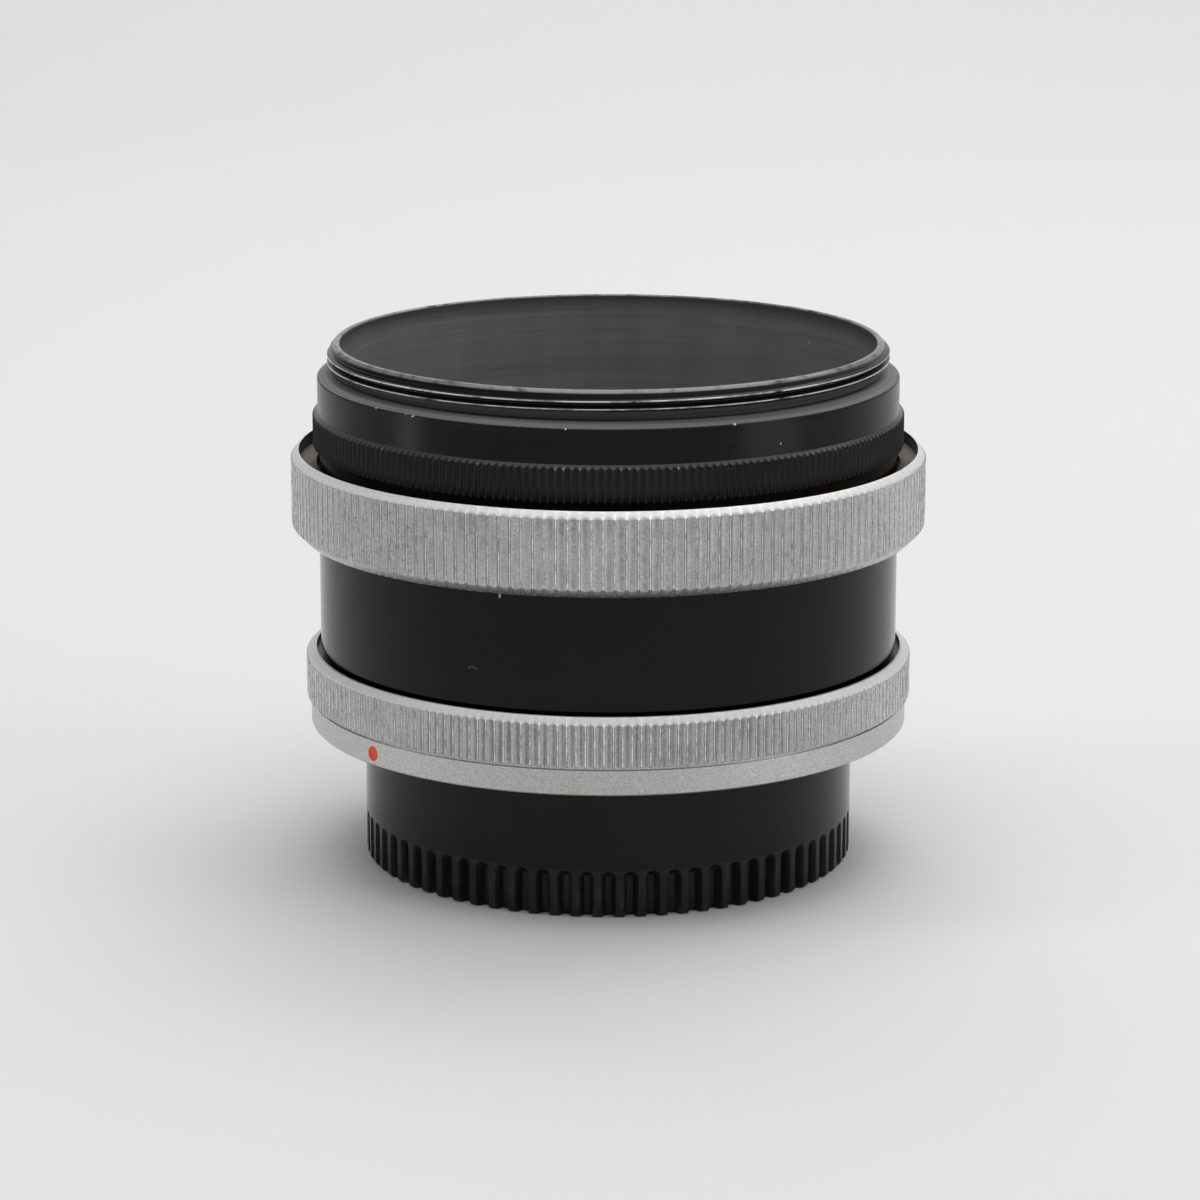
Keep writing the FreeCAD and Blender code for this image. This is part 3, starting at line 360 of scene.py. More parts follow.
WIDE_COUNT = 180
WIDE_COLUMNS = 8
wide_depth = 0.32
wide_foot_bevel = 1.1
wide_top_bevel = 0.75
wide_bore = 31.2
wide_lip = 30.2
wide_lip_low, wide_lip_high = wide_top - 2.5, wide_top - 1.3
wide_rim = wide_crest - wide_top_bevel
wide_mouth = wide_rim - 0.1
wide = wide_crest - SHOW
wide_shape = turned([
    (wide_bore, wide_bottom),
    (wide - wide_foot_bevel, wide_bottom),
    (wide, wide_bottom + wide_foot_bevel),
    (wide, wide_top - wide_top_bevel),
    (wide_rim, wide_top),
    (wide_mouth, wide_top),
    (wide_mouth, wide_lip_high),
    (wide_lip, wide_lip_high),
    (wide_lip, wide_lip_low),
    (wide_bore, wide_lip_low),
], steps=WIDE_COUNT * WIDE_COLUMNS)
broken(knurl(wide_shape, wide, wide_depth, WIDE_COUNT, ROUND_GROOVE, wide_bottom, wide_top))
wide_claw_low = wide_bottom + 0.75
wide_claw_high = wide_claw_low + claw_height
wide_claws = tabs(claw_inner, wide_bore + claw_root, wide_claw_low, wide_claw_high, CLAW_SPAN)
wide_ring = piece("wide_lock_ring", merged(wide_shape, wide_claws), "front_ring", "satin_chrome",
                  "front_lock_ring")

# %% [markdown]
# ## Lower lock ring and its index dot
# Its teeth are sharper, and a plain band carries the red dot. The dot is paint in a drilled dimple,
# which is drawn a little wider than in the CAD model, as the photograph shows it. The dimple is cut
# by a Boolean with a small drill, applied at once: pushing vertices in would need a far finer mesh
# all the way round. A Boolean wants one closed shape without overlaps, so the claws, which reach
# into the ring, join it only after the drilling.

# %% Lower lock ring
LOWER_COUNT = 216
LOWER_COLUMNS = 6
lower_depth = 0.36
lower_foot_bevel = 0.2
lower_top_bevel = 0.79
lower = lower_crest - SHOW
lower_mouth = lower - 1.11
lower_lip_high = lower_top - 0.6
lower_lip_low = lower_lip_high - 1.0
lower_bore = 29.5
lower_lip = 28.7
band = 31.15
band_edge = 0.15
band_groove = 0.2
band_high = lower_bottom + 2.57
teeth_low = band_high + 0.35
lower_shape = turned([
    (lower_bore, lower_bottom),
    (band - band_edge, lower_bottom),
    (band, lower_bottom + band_edge),
    (band, band_high),
    (band - band_groove, band_high),
    (band - band_groove, teeth_low),
    (lower - lower_foot_bevel, teeth_low),
    (lower, teeth_low + lower_foot_bevel),
    (lower, lower_top - lower_top_bevel),
    (lower - lower_top_bevel, lower_top),
    (lower_mouth, lower_top),
    (lower_mouth, lower_lip_high),
    (lower_lip, lower_lip_high),
    (lower_lip, lower_lip_low),
    (lower_bore, lower_lip_low),
], steps=LOWER_COUNT * LOWER_COLUMNS)
broken(knurl(lower_shape, lower, lower_depth, LOWER_COUNT, SHARP_GROOVE, teeth_low, lower_top))
lower_ring = piece("lower_lock_ring", lower_shape, "rear_ring", "satin_chrome", "rear_lock_ring")

# %% Dimple
dot_low, dot_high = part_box("index_dot")
dot_middle = (dot_low + dot_high) / 2
dot_out = Vector((dot_middle.x, dot_middle.y, 0)).normalized()
DOT_WIDER = 1.3  # times as wide as the CAD model's dot
dimple_radius = DOT_WIDER * (dot_high.z - dot_low.z) / 2
dimple_depth = 0.55
dimple_floor = band - dimple_depth
seat_turn = Vector((0, 0, 1)).rotation_difference(dot_out).to_matrix().to_4x4()


def radial(shape, distance):
    """Turns an upright shape to point outwards at the dot, at a distance from the axis."""
    home = Matrix.Translation(dot_out * distance * MM + Vector((0, 0, dot_middle.z)))
    bmesh.ops.transform(shape, matrix=home @ seat_turn, verts=shape.verts)
    return shape


drill_shape = bmesh.new()
bmesh.ops.create_cone(drill_shape, cap_ends=True, segments=48, depth=2 * dimple_depth * MM,
                      radius1=dimple_radius, radius2=dimple_radius)
radial(drill_shape, band)
drill_mesh = bpy.data.meshes.new("drill")
drill_shape.to_mesh(drill_mesh)
drill_shape.free()
drill = bpy.data.objects.new("drill", drill_mesh)
bpy.context.scene.collection.objects.link(drill)
lower_ring.modifiers.clear()
bore = lower_ring.modifiers.new("dimple", "BOOLEAN")
bore.operation = "DIFFERENCE"
bore.object = drill
bpy.context.view_layer.update()
cut_ring = lower_ring.evaluated_get(bpy.context.evaluated_depsgraph_get())
drilled = bpy.data.meshes.new_from_object(cut_ring)
lower_ring.modifiers.clear()
flat_walls(lower_ring)
lower_ring.data = drilled
drilled.name = "lower_lock_ring"
bpy.data.objects.remove(drill)
print("dimple drilled,", len(drilled.polygons), "faces")

# %% Claws of the lower ring
lower_claw_low = lower_bottom + 0.92
lower_claw_high = lower_claw_low + claw_height
lower_claws = tabs(claw_inner, lower_bore + claw_root, lower_claw_low, lower_claw_high, CLAW_SPAN)
whole_ring = bmesh.new()
whole_ring.from_mesh(drilled)
merged(whole_ring, shaded(lower_claws)).to_mesh(drilled)
whole_ring.free()
print("ring with its claws,", len(drilled.polygons), "faces")

# %% Paint in the dimple, which has settled into a hollow
paint_radius = dimple_radius / MM - 0.02
paint = turned([
    (0, 0),
    (paint_radius, 0),
    (paint_radius, 0.5),
    (paint_radius - 0.12, 0.4),
    (paint_radius - 0.3, 0.24),
    (0, 0.16),
], steps=48)
index_mark = piece("index_mark", radial(paint, dimple_floor), "rear_ring", "red_paint", "index_dot")

# %% [markdown]
# ## Tube and what shows down its bore
# The tube is a plain glossy cylinder. From above, the bore shows the seat ring of the coupler, the
# tube's three-lug mount and the grooved sleeve, so these are turned finely too.

# %% Tube
tube_neck = 28.4
tube_foot = lower_top - 0.05
tube_bevel = 0.35
sink_radius = 28.7
sink_floor = tube_top - 1.5
tube_bore = 26.2
tube_shape = broken(turned([
    (tube_bore, tube_bottom),
    (tube_neck, tube_bottom),
    (tube_neck, tube_foot),
    (tube_radius - tube_bevel, tube_foot),
    (tube_radius, tube_foot + tube_bevel),
    (tube_radius, tube_top - tube_bevel),
    (tube_radius - tube_bevel, tube_top),
    (sink_radius, tube_top),
    (sink_radius, sink_floor),
    (tube_bore, sink_floor),
], steps=512))
tube = piece("tube", tube_shape, "tube", "black_anodised", "tube_barrel")

# %% Seat rings
_, front_seat_low, front_seat_high = reach("coupler_seat_ring")
_, rear_seat_low, rear_seat_high = reach("rear_seat_ring")
LOOSE = 0.1  # play between a turned piece and the one round it
PLATE = 1.0  # thickness of a seat ring's plate
plate_play = 0.3
throat = 24.0
spigot = throat - LOOSE
spigot_bore = spigot - 1.0


def seat_ring(low, high, plate_radius):
    """A plate with a collar that centres it in a mount."""
    return broken(turned([
        (spigot_bore, low),
        (spigot, low),
        (spigot, high - PLATE),
        (plate_radius, high - PLATE),
        (plate_radius, high),
        (spigot_bore, high),
    ]))


coupler_seat = piece("coupler_seat", seat_ring(front_seat_low, front_seat_high, wide_bore - plate_play),
                     "tube", "bright_chrome", "coupler_seat_ring")
tube_seat = piece("tube_seat", seat_ring(rear_seat_low, rear_seat_high, lower_bore - plate_play),
                  "tube", "bright_chrome", "rear_seat_ring")

# %% Three-lug mount
mount_neck = 25.53
mount_lug_height = 2.2
front_seat = front_seat_high - PLATE
mount_shape = broken(turned([
    (throat, sink_floor),
    (sink_radius - LOOSE, sink_floor),
    (sink_radius - LOOSE, tube_top),
    (mount_neck, tube_top),
    (mount_neck, front_seat),
    (throat, front_seat),
]))
mount_lugs = tabs(mount_neck - 0.5, lug_radius, front_seat - mount_lug_height, front_seat, LUG_SPAN)
tube_mount = piece("tube_mount", merged(mount_shape, mount_lugs), "tube", "bright_chrome", "front_bayonet")

# %% Grooved sleeve
_, sleeve_low, sleeve_high = reach("tube_baffle")
sleeve_outside = tube_bore - LOOSE
sleeve_inside = sleeve_outside - 1.2
groove_pitch = 1.5
groove_depth = 0.55
groove_count = int((sleeve_high - sleeve_low) / groove_pitch)
sleeve_outline = [(sleeve_outside, sleeve_low), (sleeve_outside, sleeve_high), (sleeve_inside, sleeve_high)]
for groove in reversed(range(groove_count)):
    crest_height = sleeve_low + groove * groove_pitch
    sleeve_outline.append((sleeve_inside + groove_depth, crest_height + groove_pitch / 2))
    sleeve_outline.append((sleeve_inside, crest_height))
tube_sleeve = piece("tube_sleeve", turned(sleeve_outline), "tube", "matt_black", "tube_baffle")

# %% [markdown]
# ## Cap
# The moulded cap has 72 ribs. A groove between two ribs has a flat floor, sloping sides and a top
# with round corners, as a mould makes it. The spin gives the wall evenly spaced columns. They are
# gathered to the edges of the grooves, four levels of the wall are bent into arches, and then every
# point sinks to the groove's surface. Cutting 72 grooves by Booleans would take far longer.

# %% Cap with ribs
RIB_COUNT = 72
rib_depth = 1.0
rib_top = 4.8
soft_edge = 0.04
SQUARE = 2.8  # power of a groove's top: 2 is a half circle, and more has squarer corners
FLOOR_SHARE = 0.32  # what a groove's floor takes of the pitch
CREST_SHARE = 0.36  # what a rib's crest takes of it
rib_pitch = FULL_TURN * mount_neck / RIB_COUNT
floor_half = rib_pitch * FLOOR_SHARE / 2 * (mount_neck - rib_depth) / mount_neck
mouth_half = rib_pitch * (1 - CREST_SHARE) / 2
spring = rib_top - mouth_half
ARCHES = (floor_half - soft_edge, floor_half + soft_edge, mouth_half - soft_edge, mouth_half + soft_edge)
COLUMNS = (0, floor_half / 2, *ARCHES[:2], (floor_half + mouth_half) / 2, *ARCHES[2:], rib_pitch / 2)
PER_RIB = 2 * (len(COLUMNS) - 1)
LEVEL_GAP = 0.1
arch_levels = [spring + LEVEL_GAP + LEVEL_GAP * level for level in range(len(ARCHES))]

cap_edge = 0.3
cap_recess = 0.5
cap_recess_radius = 22.4
cap_floor = 2.5
cap_bore = mount_neck - 1.28
cap_well = mount_neck - 2.23
cap_step = cap_top - 4.0
cap_shape = broken(turned([
    (0, cap_recess),
    (cap_recess_radius, cap_recess),
    (cap_recess_radius + cap_edge, cap_bottom),
    (mount_neck - cap_edge, cap_bottom),
    (mount_neck, cap_bottom + cap_edge),
    (mount_neck, spring),
    *[(mount_neck, level) for level in arch_levels],
    (mount_neck, rib_top + 0.3),
    (mount_neck, cap_top),
    (cap_bore, cap_top),
    (cap_bore, cap_step),
    (cap_well, cap_step),
    (cap_well, cap_floor + cap_edge),
    (cap_well - cap_edge, cap_floor),
    (0, cap_floor),
], steps=RIB_COUNT * PER_RIB))

# %% Gather the columns, bend the arches and sink the grooves
for vert in cap_shape.verts:
    radius = vert.co.xy.length / MM
    height = vert.co.z / MM
    if radius < mount_neck - rib_depth or height > rib_top + 0.2:
        continue
    column = round(math.atan2(vert.co.y, vert.co.x) / FULL_TURN * RIB_COUNT * PER_RIB)
    groove, step = divmod(column + PER_RIB // 2, PER_RIB)
    step -= PER_RIB // 2
    aside = math.copysign(COLUMNS[abs(step)], step)
    for level, arch in zip(arch_levels, ARCHES):
        if abs(height - level) < TOUCH:
            height = spring + max(arch ** SQUARE - abs(aside) ** SQUARE, 0) ** (1 / SQUARE)
    away = (abs(aside) ** SQUARE + max(height - spring, 0) ** SQUARE) ** (1 / SQUARE)
    slope = min(1, max(0, (away - floor_half) / (mouth_half - floor_half)))
    radius = min(radius, mount_neck - rib_depth * (1 - slope))
    angle = groove * FULL_TURN / RIB_COUNT + aside / mount_neck
    vert.co = (radius * math.cos(angle) * MM, radius * math.sin(angle) * MM, height * MM)
cap_lug_high = cap_top - 1.15
cap_lugs = tabs(mount_neck - 0.6, lug_radius, cap_lug_high - 1.0, cap_lug_high, LUG_SPAN)
cap = piece("cap", merged(cap_shape, cap_lugs), "cap", "cap_plastic", "rear_cap")

# %% [markdown]
# ## Shader maths
# A finish is easier to read as arithmetic than as a web of nodes. A Wire stands for one output
# socket, and adding or multiplying Wires adds the Math nodes. Every other node comes from one
# method, which sets the node's own settings first and then its sockets.

# %% Wires and finishes


class Wire:
    """One output socket of a finish. Arithmetic on it adds Math nodes."""

    def __init__(self, finish, socket):
        self.finish = finish
        self.socket = socket

    def maths(self, operation, *values):
        return self.finish.node("ShaderNodeMath", {"operation": operation}, dict(enumerate(values)))

    def __add__(self, other):
        return self.maths("ADD", self, other)

    def __sub__(self, other):
        return self.maths("SUBTRACT", self, other)

    def __rsub__(self, other):
        return self.maths("SUBTRACT", other, self)

    def __mul__(self, other):
        return self.maths("MULTIPLY", self, other)

    def __pow__(self, other):
        return self.maths("POWER", self, other)

    def most(self, other):
        return self.maths("MAXIMUM", self, other)

    def below(self, limit):
        return self.maths("LESS_THAN", self, limit)

    def ramp(self, start, end):
        """0 up to start and 1 from end on, with a straight rise between them."""
        return self.finish.node("ShaderNodeMapRange", {}, {
            "Value": self, "From Min": start, "From Max": end, "To Min": 0.0, "To Max": 1.0})

    __radd__ = __add__
    __rmul__ = __mul__


class Finish:
    """A material of one Principled shader. Its x, y, z and radius are in metres, and its angle is in
    degrees from the front."""

    def __init__(self, name):
        self.material = bpy.data.materials.new(name)
        self.material.use_nodes = True
        self.tree = self.material.node_tree
        self.tree.nodes.clear()
        self.place = self.node("ShaderNodeTexCoord", {}, {}, "Object")
        self.x, self.y, self.z = (
            self.node("ShaderNodeSeparateXYZ", {}, {"Vector": self.place}, axis) for axis in "XYZ")
        self.radius = (self.x * self.x + self.y * self.y) ** 0.5
        self.angle = self.x.maths("ARCTAN2", self.x, 0.0 - self.y) * (180 / math.pi)

    def node(self, kind, settings, inputs, output=0):
        """Adds a node. A Wire is linked to its socket, and any other value is set on it."""
        made = self.tree.nodes.new(kind)
        for key, value in settings.items():
            setattr(made, key, value)
        for key, value in inputs.items():
            if isinstance(value, Wire):
                self.tree.links.new(value.socket, made.inputs[key])
            else:
                made.inputs[key].default_value = value
        return Wire(self, made.outputs[output])

    def vector(self, x, y, z):
        return self.node("ShaderNodeCombineXYZ", {}, {"X": x, "Y": y, "Z": z})

    def noise(self, vector, scale, detail=2.0):
        return self.node("ShaderNodeTexNoise", {}, {
            "Vector": vector, "Scale": scale, "Detail": detail, "Roughness": 0.55}, "Fac")

    def mix(self, factor, first, second):
        """A colour between two colours."""
        return self.node("ShaderNodeMix", {"data_type": "RGBA"}, {0: factor, 6: first, 7: second}, 2)

    def streaks(self, around, along, detail=3.0):
        """Noise drawn out into rings where along is the larger scale, or else into upright streaks."""
        return self.noise(self.vector(self.x * around, self.y * around, self.z * along), 1.0, detail)

    def lathe_lines(self, around, along):
        """Noise drawn out into the fine rings that a lathe tool leaves on walls and faces alike."""
        height = (self.z + self.radius * 0.7) * along
        return self.noise(self.vector(self.x * around, self.y * around, height), 1.0, 3.0)

    def between(self, low, high, soft=0.03):
        """1 between two heights in millimetres, with soft ends."""
        rise = self.z.ramp((low - soft) * MM, (low + soft) * MM)
        return rise * (1 - self.z.ramp((high - soft) * MM, (high + soft) * MM))

    def mark(self, angle, height, wide, tall, hollow=0.0):
        """A spot or a small ring on a wall: degrees from the front, and millimetres."""
        across = (self.angle - angle) * (1 / wide)
        along = (self.z - height * MM) * (1 / (tall * MM))
        away = (across * across + along * along) ** 0.5
        spot = 1 - away.ramp(0.7, 1.0)
        return spot * away.ramp(hollow - 0.1, hollow) if hollow else spot

    def groove(self):
        """How deep a point lies in its knurl's groove: 1 at the floor, 0 at a crest and off the knurl."""
        return self.node("ShaderNodeAttribute", {"attribute_name": GROOVE}, {}, "Fac")

    def specks(self, scale, size, share):
        """Small scattered dots: a share of the cells of a Voronoi pattern holds one."""
        cells = {"Vector": self.place, "Scale": scale, "Randomness": 1.0}
        distance = self.node("ShaderNodeTexVoronoi", {}, cells, "Distance")
        colour = self.node("ShaderNodeTexVoronoi", {}, cells, "Color")
        luck = self.node("ShaderNodeSeparateColor", {}, {"Color": colour}, "Red")
        return luck.below(share) * (1 - distance.ramp(size * 0.6, size))

    def bump(self, height, strength, distance):
        return self.node("ShaderNodeBump", {}, {
            "Height": height, "Strength": strength, "Distance": distance})

    def surface(self, **sockets):
        """Sets the Principled shader. A socket's name has _ for each space."""
        inputs = {key.replace("_", " "): value for key, value in sockets.items()}
        shader = self.node("ShaderNodeBsdfPrincipled", {}, inputs)
        output = self.tree.nodes.new("ShaderNodeOutputMaterial")
        self.tree.links.new(shader.socket, output.inputs["Surface"])
        return self.material


def grey(level, warm=0.0):
    return (level * (1 + warm), level, level * (1 - warm), 1.0)


# %% [markdown]
# ## Black anodised aluminium
# It is nearly black and glossy, with the rings of the lathe tool under the dye. Where the thread,
# the edge of the shoulder and the top ends of the grip's teeth have been rubbed, bare metal shows.
# The bottom ends of the teeth carry a faint painted reflection of the ring below, in the colour of
# bare metal, and the grip's top bevel, the shoulder's slope and the thread's neck are painted
# lighter as painted highlights. The bore has turned lines of its own. Its grey is painted lighter
# than the black outside, as painted light on its far wall, and painted shade darkens it towards its
# mouth. Wear could be painted on a picture of the surface. Here it is a mask of radius, height and
# noise, so that it follows the shape and stays in place from every side.

# %% Coupler finish
BLACK = grey(0.003)
SOFT_BLACK = grey(0.006, 0.03)
BLACK_GLOSS = 0.17  # Specular IOR Level of the dyed and moulded blacks
BARE = (0.62, 0.58, 0.55, 1)
DUST = grey(0.5)
CHIPS = ((-50, 0.4), (-41.5, 0.3), (-39.8, 0.55), (24, 0.3), (-8, 0.2))  # angle and half width, degrees


def coupler_black(name):
    finish = Finish(name)
    rings = finish.lathe_lines(25, 9000)
    broad = finish.lathe_lines(12, 1200)
    patches = finish.noise(finish.place, 70, 4.0)
    rubbed = finish.noise(finish.place, 500, 4.0)
    dust = finish.specks(420, 0.05, 0.05)
    colour = finish.mix(patches * 0.4 + rings * 0.6, BLACK, grey(0.022, 0.02))

    # The bore's grey is painted lighter than the black outside: painted light on its far wall, over its own
    # turned streaks. Painted shade darkens it towards the mouth.
    bore = 1 - finish.radius.ramp((bore_radius + 0.02) * MM, (bore_radius + 0.08) * MM)
    bore_lines = finish.streaks(50, 1800) * 0.6 + finish.streaks(260, 60) * 0.4
    bore_tone_and_light = finish.mix(bore_lines, grey(0.10), grey(0.32, 0.02))
    mouth_shade = finish.z.ramp((coupler_top - 2.0) * MM, (coupler_top - 0.4) * MM)
    colour = finish.mix(bore, colour, finish.mix(mouth_shade * 0.75, bore_tone_and_light, grey(0.035)))
    collar = 1 - finish.z.ramp((grip_low - 0.5) * MM, (grip_low - 0.3) * MM)
    colour = finish.mix(collar * (1 - bore), colour, (0.016, 0.010, 0.008, 1))

    # Painted highlights: the shoulder's slope and the thread's neck are painted lighter.
    slope = finish.between(shoulder, shoulder + 0.45) * (1 - bore)
    neck = finish.between(join, thread_low) * (1 - bore)
    colour = finish.mix(slope, colour, finish.mix(rings, grey(0.05), grey(0.34, 0.02)))
    colour = finish.mix(neck, colour, finish.mix(rings, grey(0.02), grey(0.14, 0.05)))

    thread_zone = finish.between(thread_low, coupler_top + 1)
    crest = finish.radius.ramp((thread_crest - 0.06) * MM, (thread_crest - 0.02) * MM) * thread_zone
    rim = finish.between(coupler_top - 0.3, coupler_top + 1) * (1 - bore)
    worn = (crest * rubbed.ramp(0.28, 0.5)).most(rim * rubbed.ramp(0.3, 0.5) * 0.4)
    ragged = finish.noise(finish.place, 5000, 2.0).ramp(0.4, 0.55)
    chips = finish.between(shoulder - 0.14, shoulder + 0.02) * rubbed.ramp(0.72, 0.78)
    for angle, wide in CHIPS:
        chips = chips.most(finish.mark(angle, shoulder - 0.06, wide, 0.1) * ragged)
    sunk = finish.groove()
    teeth = (1 - sunk).ramp(0.75, 0.95) * sunk.ramp(0.0, 0.004)
    # The bottom ends of the teeth get a faint painted reflection of the ring below in the bare colour; the
    # top ends are worn where the noise says.
    low_end_glint = finish.between(grip_low - 0.3, grip_low + 0.05)
    high_ends = finish.between(grip_high - 0.1, grip_high + 0.15) * rubbed.ramp(0.55, 0.65)
    bare_and_glint = worn.most(chips).most(teeth * (low_end_glint * 0.5 + high_ends) * 0.5)
    # Painted highlight on the grip's top bevel.
    grip_top_highlight = finish.between(grip_high + 0.02, grip_high + grip_bevel) * (1 - sunk) * (1 - bore)
    colour = finish.mix(grip_top_highlight * 0.8, colour, finish.mix(rings, grey(0.05), grey(0.12)))
    colour = finish.mix(bare_and_glint, colour, BARE)
    colour = finish.mix(dust, colour, DUST)
    return finish.surface(
        Base_Color=colour,
        Metallic=bare_and_glint * 0.85,
        Roughness=0.24 + (rings - 0.5) * 0.12 + (broad - 0.5) * 0.14 + (bore + slope) * 0.3 + dust * 0.4,
        Specular_IOR_Level=BLACK_GLOSS,
        Normal=finish.bump(rings * 0.5 + broad * 0.5, 0.35, 0.00002),
    )


def tube_black(name):
    """The tube is smoother than the coupler. It has a curled scratch and a few small marks."""
    finish = Finish(name)
    rings = finish.lathe_lines(25, 9000)
    patches = finish.noise(finish.place, 70, 4.0)
    dust = finish.specks(300, 0.035, 0.06)
    curl = finish.mark(-26.5, 26.05, 1.1, 0.42, hollow=0.85) * finish.z.ramp(26.1 * MM, 26.25 * MM)
    nick = finish.mark(-20.75, 33.9, 0.28, 0.28)
    wall = finish.radius.ramp((tube_bore + 0.5) * MM, (tube_bore + 0.6) * MM)
    light = (dust * wall).most(curl * 0.7).most(nick)
    colour = finish.mix(light, finish.mix(patches, BLACK, SOFT_BLACK), DUST)
    return finish.surface(
        Base_Color=colour,
        Roughness=0.15 + (rings - 0.5) * 0.07 + light * 0.4,
        Specular_IOR_Level=BLACK_GLOSS,
        Normal=finish.bump(rings, 0.12, 0.00002),
    )


coupler_finish = coupler_black("coupler_black")
tube_finish = tube_black("tube_black")
print("black finishes:", coupler_finish.name, "and", tube_finish.name)

# %% [markdown]
# ## Blasted chrome
# The lock rings are brass, blasted with fine beads and chromed. The grain is both a bump and a
# slight change of tone, with a few cells that sparkle. Dirt lies in the grooves, some of it brown
# where fingers hold the wide ring. The crests are rubbed bright, and a dark line of painted shade
# runs down each side of them. The bevel at the top is painted pale and less metallic, as a painted
# highlight. What lies inside the ring's mouth is painted dark and brown, as painted shade, and brass
# shows at the bottom edge. The mesh's groove layer tells the finish where the dirt, the shade lines
# and the crests are, and radius and height tell it the rest.

# %% Lock ring finish


def satin_chrome(name, inside, mouth, bottom, top, grime):
    """Blasted chrome. Grime is the angle and half width of a brown patch in degrees, or None."""
    finish = Finish(name)
    sunk = finish.groove()
    grain = finish.noise(finish.place, 5500, 2.0)
    clouds = finish.noise(finish.place, 160, 4.0)
    fine = finish.noise(finish.place, 1400, 3.0)
    sparkle = finish.specks(1500, 0.11, 0.16)
    metal = finish.mix(grain.ramp(0.3, 0.7), (0.42, 0.42, 0.41, 1), (0.67, 0.67, 0.66, 1))
    dirt = sunk.ramp(0.45, 1.0) * clouds.ramp(0.4, 0.75) * fine.ramp(0.3, 0.6)
    colour = finish.mix(dirt * 0.7, metal, (0.16, 0.15, 0.12, 1))
    if grime:
        angle, wide = grime
        patch = finish.mark(angle, (wide_bottom + wide_top) / 2, wide, 7.0) * sunk.ramp(0.2, 0.7)
        brown = patch * finish.noise(finish.place, 3600, 3.0).ramp(0.58, 0.68)
        colour = finish.mix(brown * 0.7, colour, (0.24, 0.17, 0.07, 1))
    rubbed = (1 - sunk).ramp(0.72, 0.95) * sunk.ramp(0.0, 0.004) * fine.ramp(0.35, 0.6)
    # Painted shade: a dark line down each side of a crest.
    flank = sunk.ramp(0.05, 0.15) * (1 - sunk.ramp(0.22, 0.4))
    colour = finish.mix(flank * 0.65, colour, (0.10, 0.10, 0.09, 1))
    bright = rubbed.most(sparkle)
    colour = finish.mix(bright * 0.8, colour, grey(0.92))
    brass = 1 - finish.z.ramp((bottom + 0.03) * MM, (bottom + 0.1) * MM)
    colour = finish.mix(brass * fine.ramp(0.35, 0.5), colour, (0.55, 0.36, 0.12, 1))
    # Painted highlight: the top bevel is painted pale and less metallic.
    outside_mouth = finish.radius.ramp((mouth + 0.02) * MM, (mouth + 0.06) * MM)
    bevel = finish.between(top - 0.7, top + 0.1) * outside_mouth
    colour = finish.mix(bevel * 0.8, colour, grey(0.92))
    dark = 1 - finish.radius.ramp((inside - 0.05) * MM, inside * MM)
    low_dark = dark * (1 - finish.z.ramp((bottom + 5.2) * MM, (bottom + 5.4) * MM))
    colour = finish.mix(low_dark, colour, (0.03, 0.026, 0.02, 1))
    # Painted shade, dark and brown, inside the ring's mouth.
    inside_mouth = 1 - finish.radius.ramp(mouth * MM, (mouth + 0.02) * MM)
    recess_shade = inside_mouth * finish.z.ramp((top - 2.2) * MM, (top - 2.1) * MM)
    recess_shade_tone = finish.mix(clouds, (0.045, 0.036, 0.024, 1), (0.16, 0.135, 0.10, 1))
    colour = finish.mix(recess_shade, colour, recess_shade_tone)
    return finish.surface(
        Base_Color=colour,
        Metallic=1 - dirt * 0.6 - bevel * 0.4,
        Roughness=0.38 + (grain - 0.5) * 0.2 + dirt * 0.25 + bevel * 0.2 - bright * 0.15,
        Normal=finish.bump(grain, 0.55, 0.00003),
    )


wide_finish = satin_chrome("wide_chrome", wide_bore + 0.1, wide_mouth + 0.01, wide_bottom, wide_top,
                           grime=(-44, 14))
lower_finish = satin_chrome("lower_chrome", lower_bore + 0.1, lower_mouth + 0.01, lower_bottom, lower_top,
                            grime=None)
print("chrome finishes:", wide_finish.name, "and", lower_finish.name)

# %% [markdown]
# ## Cap plastic
# The cap is moulded, so it has no lathe lines: its gloss wanders a little instead. The ribs are
# scuffed a little all over, and most at the ends, on which the cap stands. A slow noise gives the
# gloss, and a noise drawn out upwards gives the scuffs.

# %% Cap finish


def cap_plastic(name):
    finish = Finish(name)
    flow = finish.noise(finish.place, 120, 3.0)
    scuffs = finish.streaks(900, 250, 4.0)
    dust = finish.specks(450, 0.05, 0.07)
    outside = finish.radius.ramp((mount_neck - 1.3) * MM, (mount_neck - 1.2) * MM)
    ribs = outside * (1 - finish.z.ramp(rib_top * MM, (rib_top + 0.2) * MM))
    ends = 1 - finish.z.ramp(0.25 * MM, 0.6 * MM)
    worn = scuffs.ramp(0.55, 0.7) * (ribs * 0.35).most(ends)
    smooth_black = finish.mix(flow, SOFT_BLACK, grey(0.013))
    scuffed_black = finish.mix(scuffs, grey(0.008), grey(0.03))
    black = finish.mix(ribs, smooth_black, scuffed_black)
    colour = finish.mix(worn * 0.4, black, grey(0.12))
    colour = finish.mix(dust, colour, DUST)
    return finish.surface(
        Base_Color=colour,
        Roughness=0.16 + (flow - 0.5) * 0.1 + worn * 0.25 + dust * 0.4,
        Specular_IOR_Level=BLACK_GLOSS,
        Normal=finish.bump(flow, 0.08, 0.00005),
    )


cap_finish = cap_plastic("cap_black")
print("cap finish:", cap_finish.name)

# %% [markdown]
# ## Seats, screws, pins and paint
# What lies inside is bare turned metal, and it is hardly seen, so one simple finish serves with
# four tones. The dot is enamel, whose red wanders a little where it has settled.

# %% Plain metals


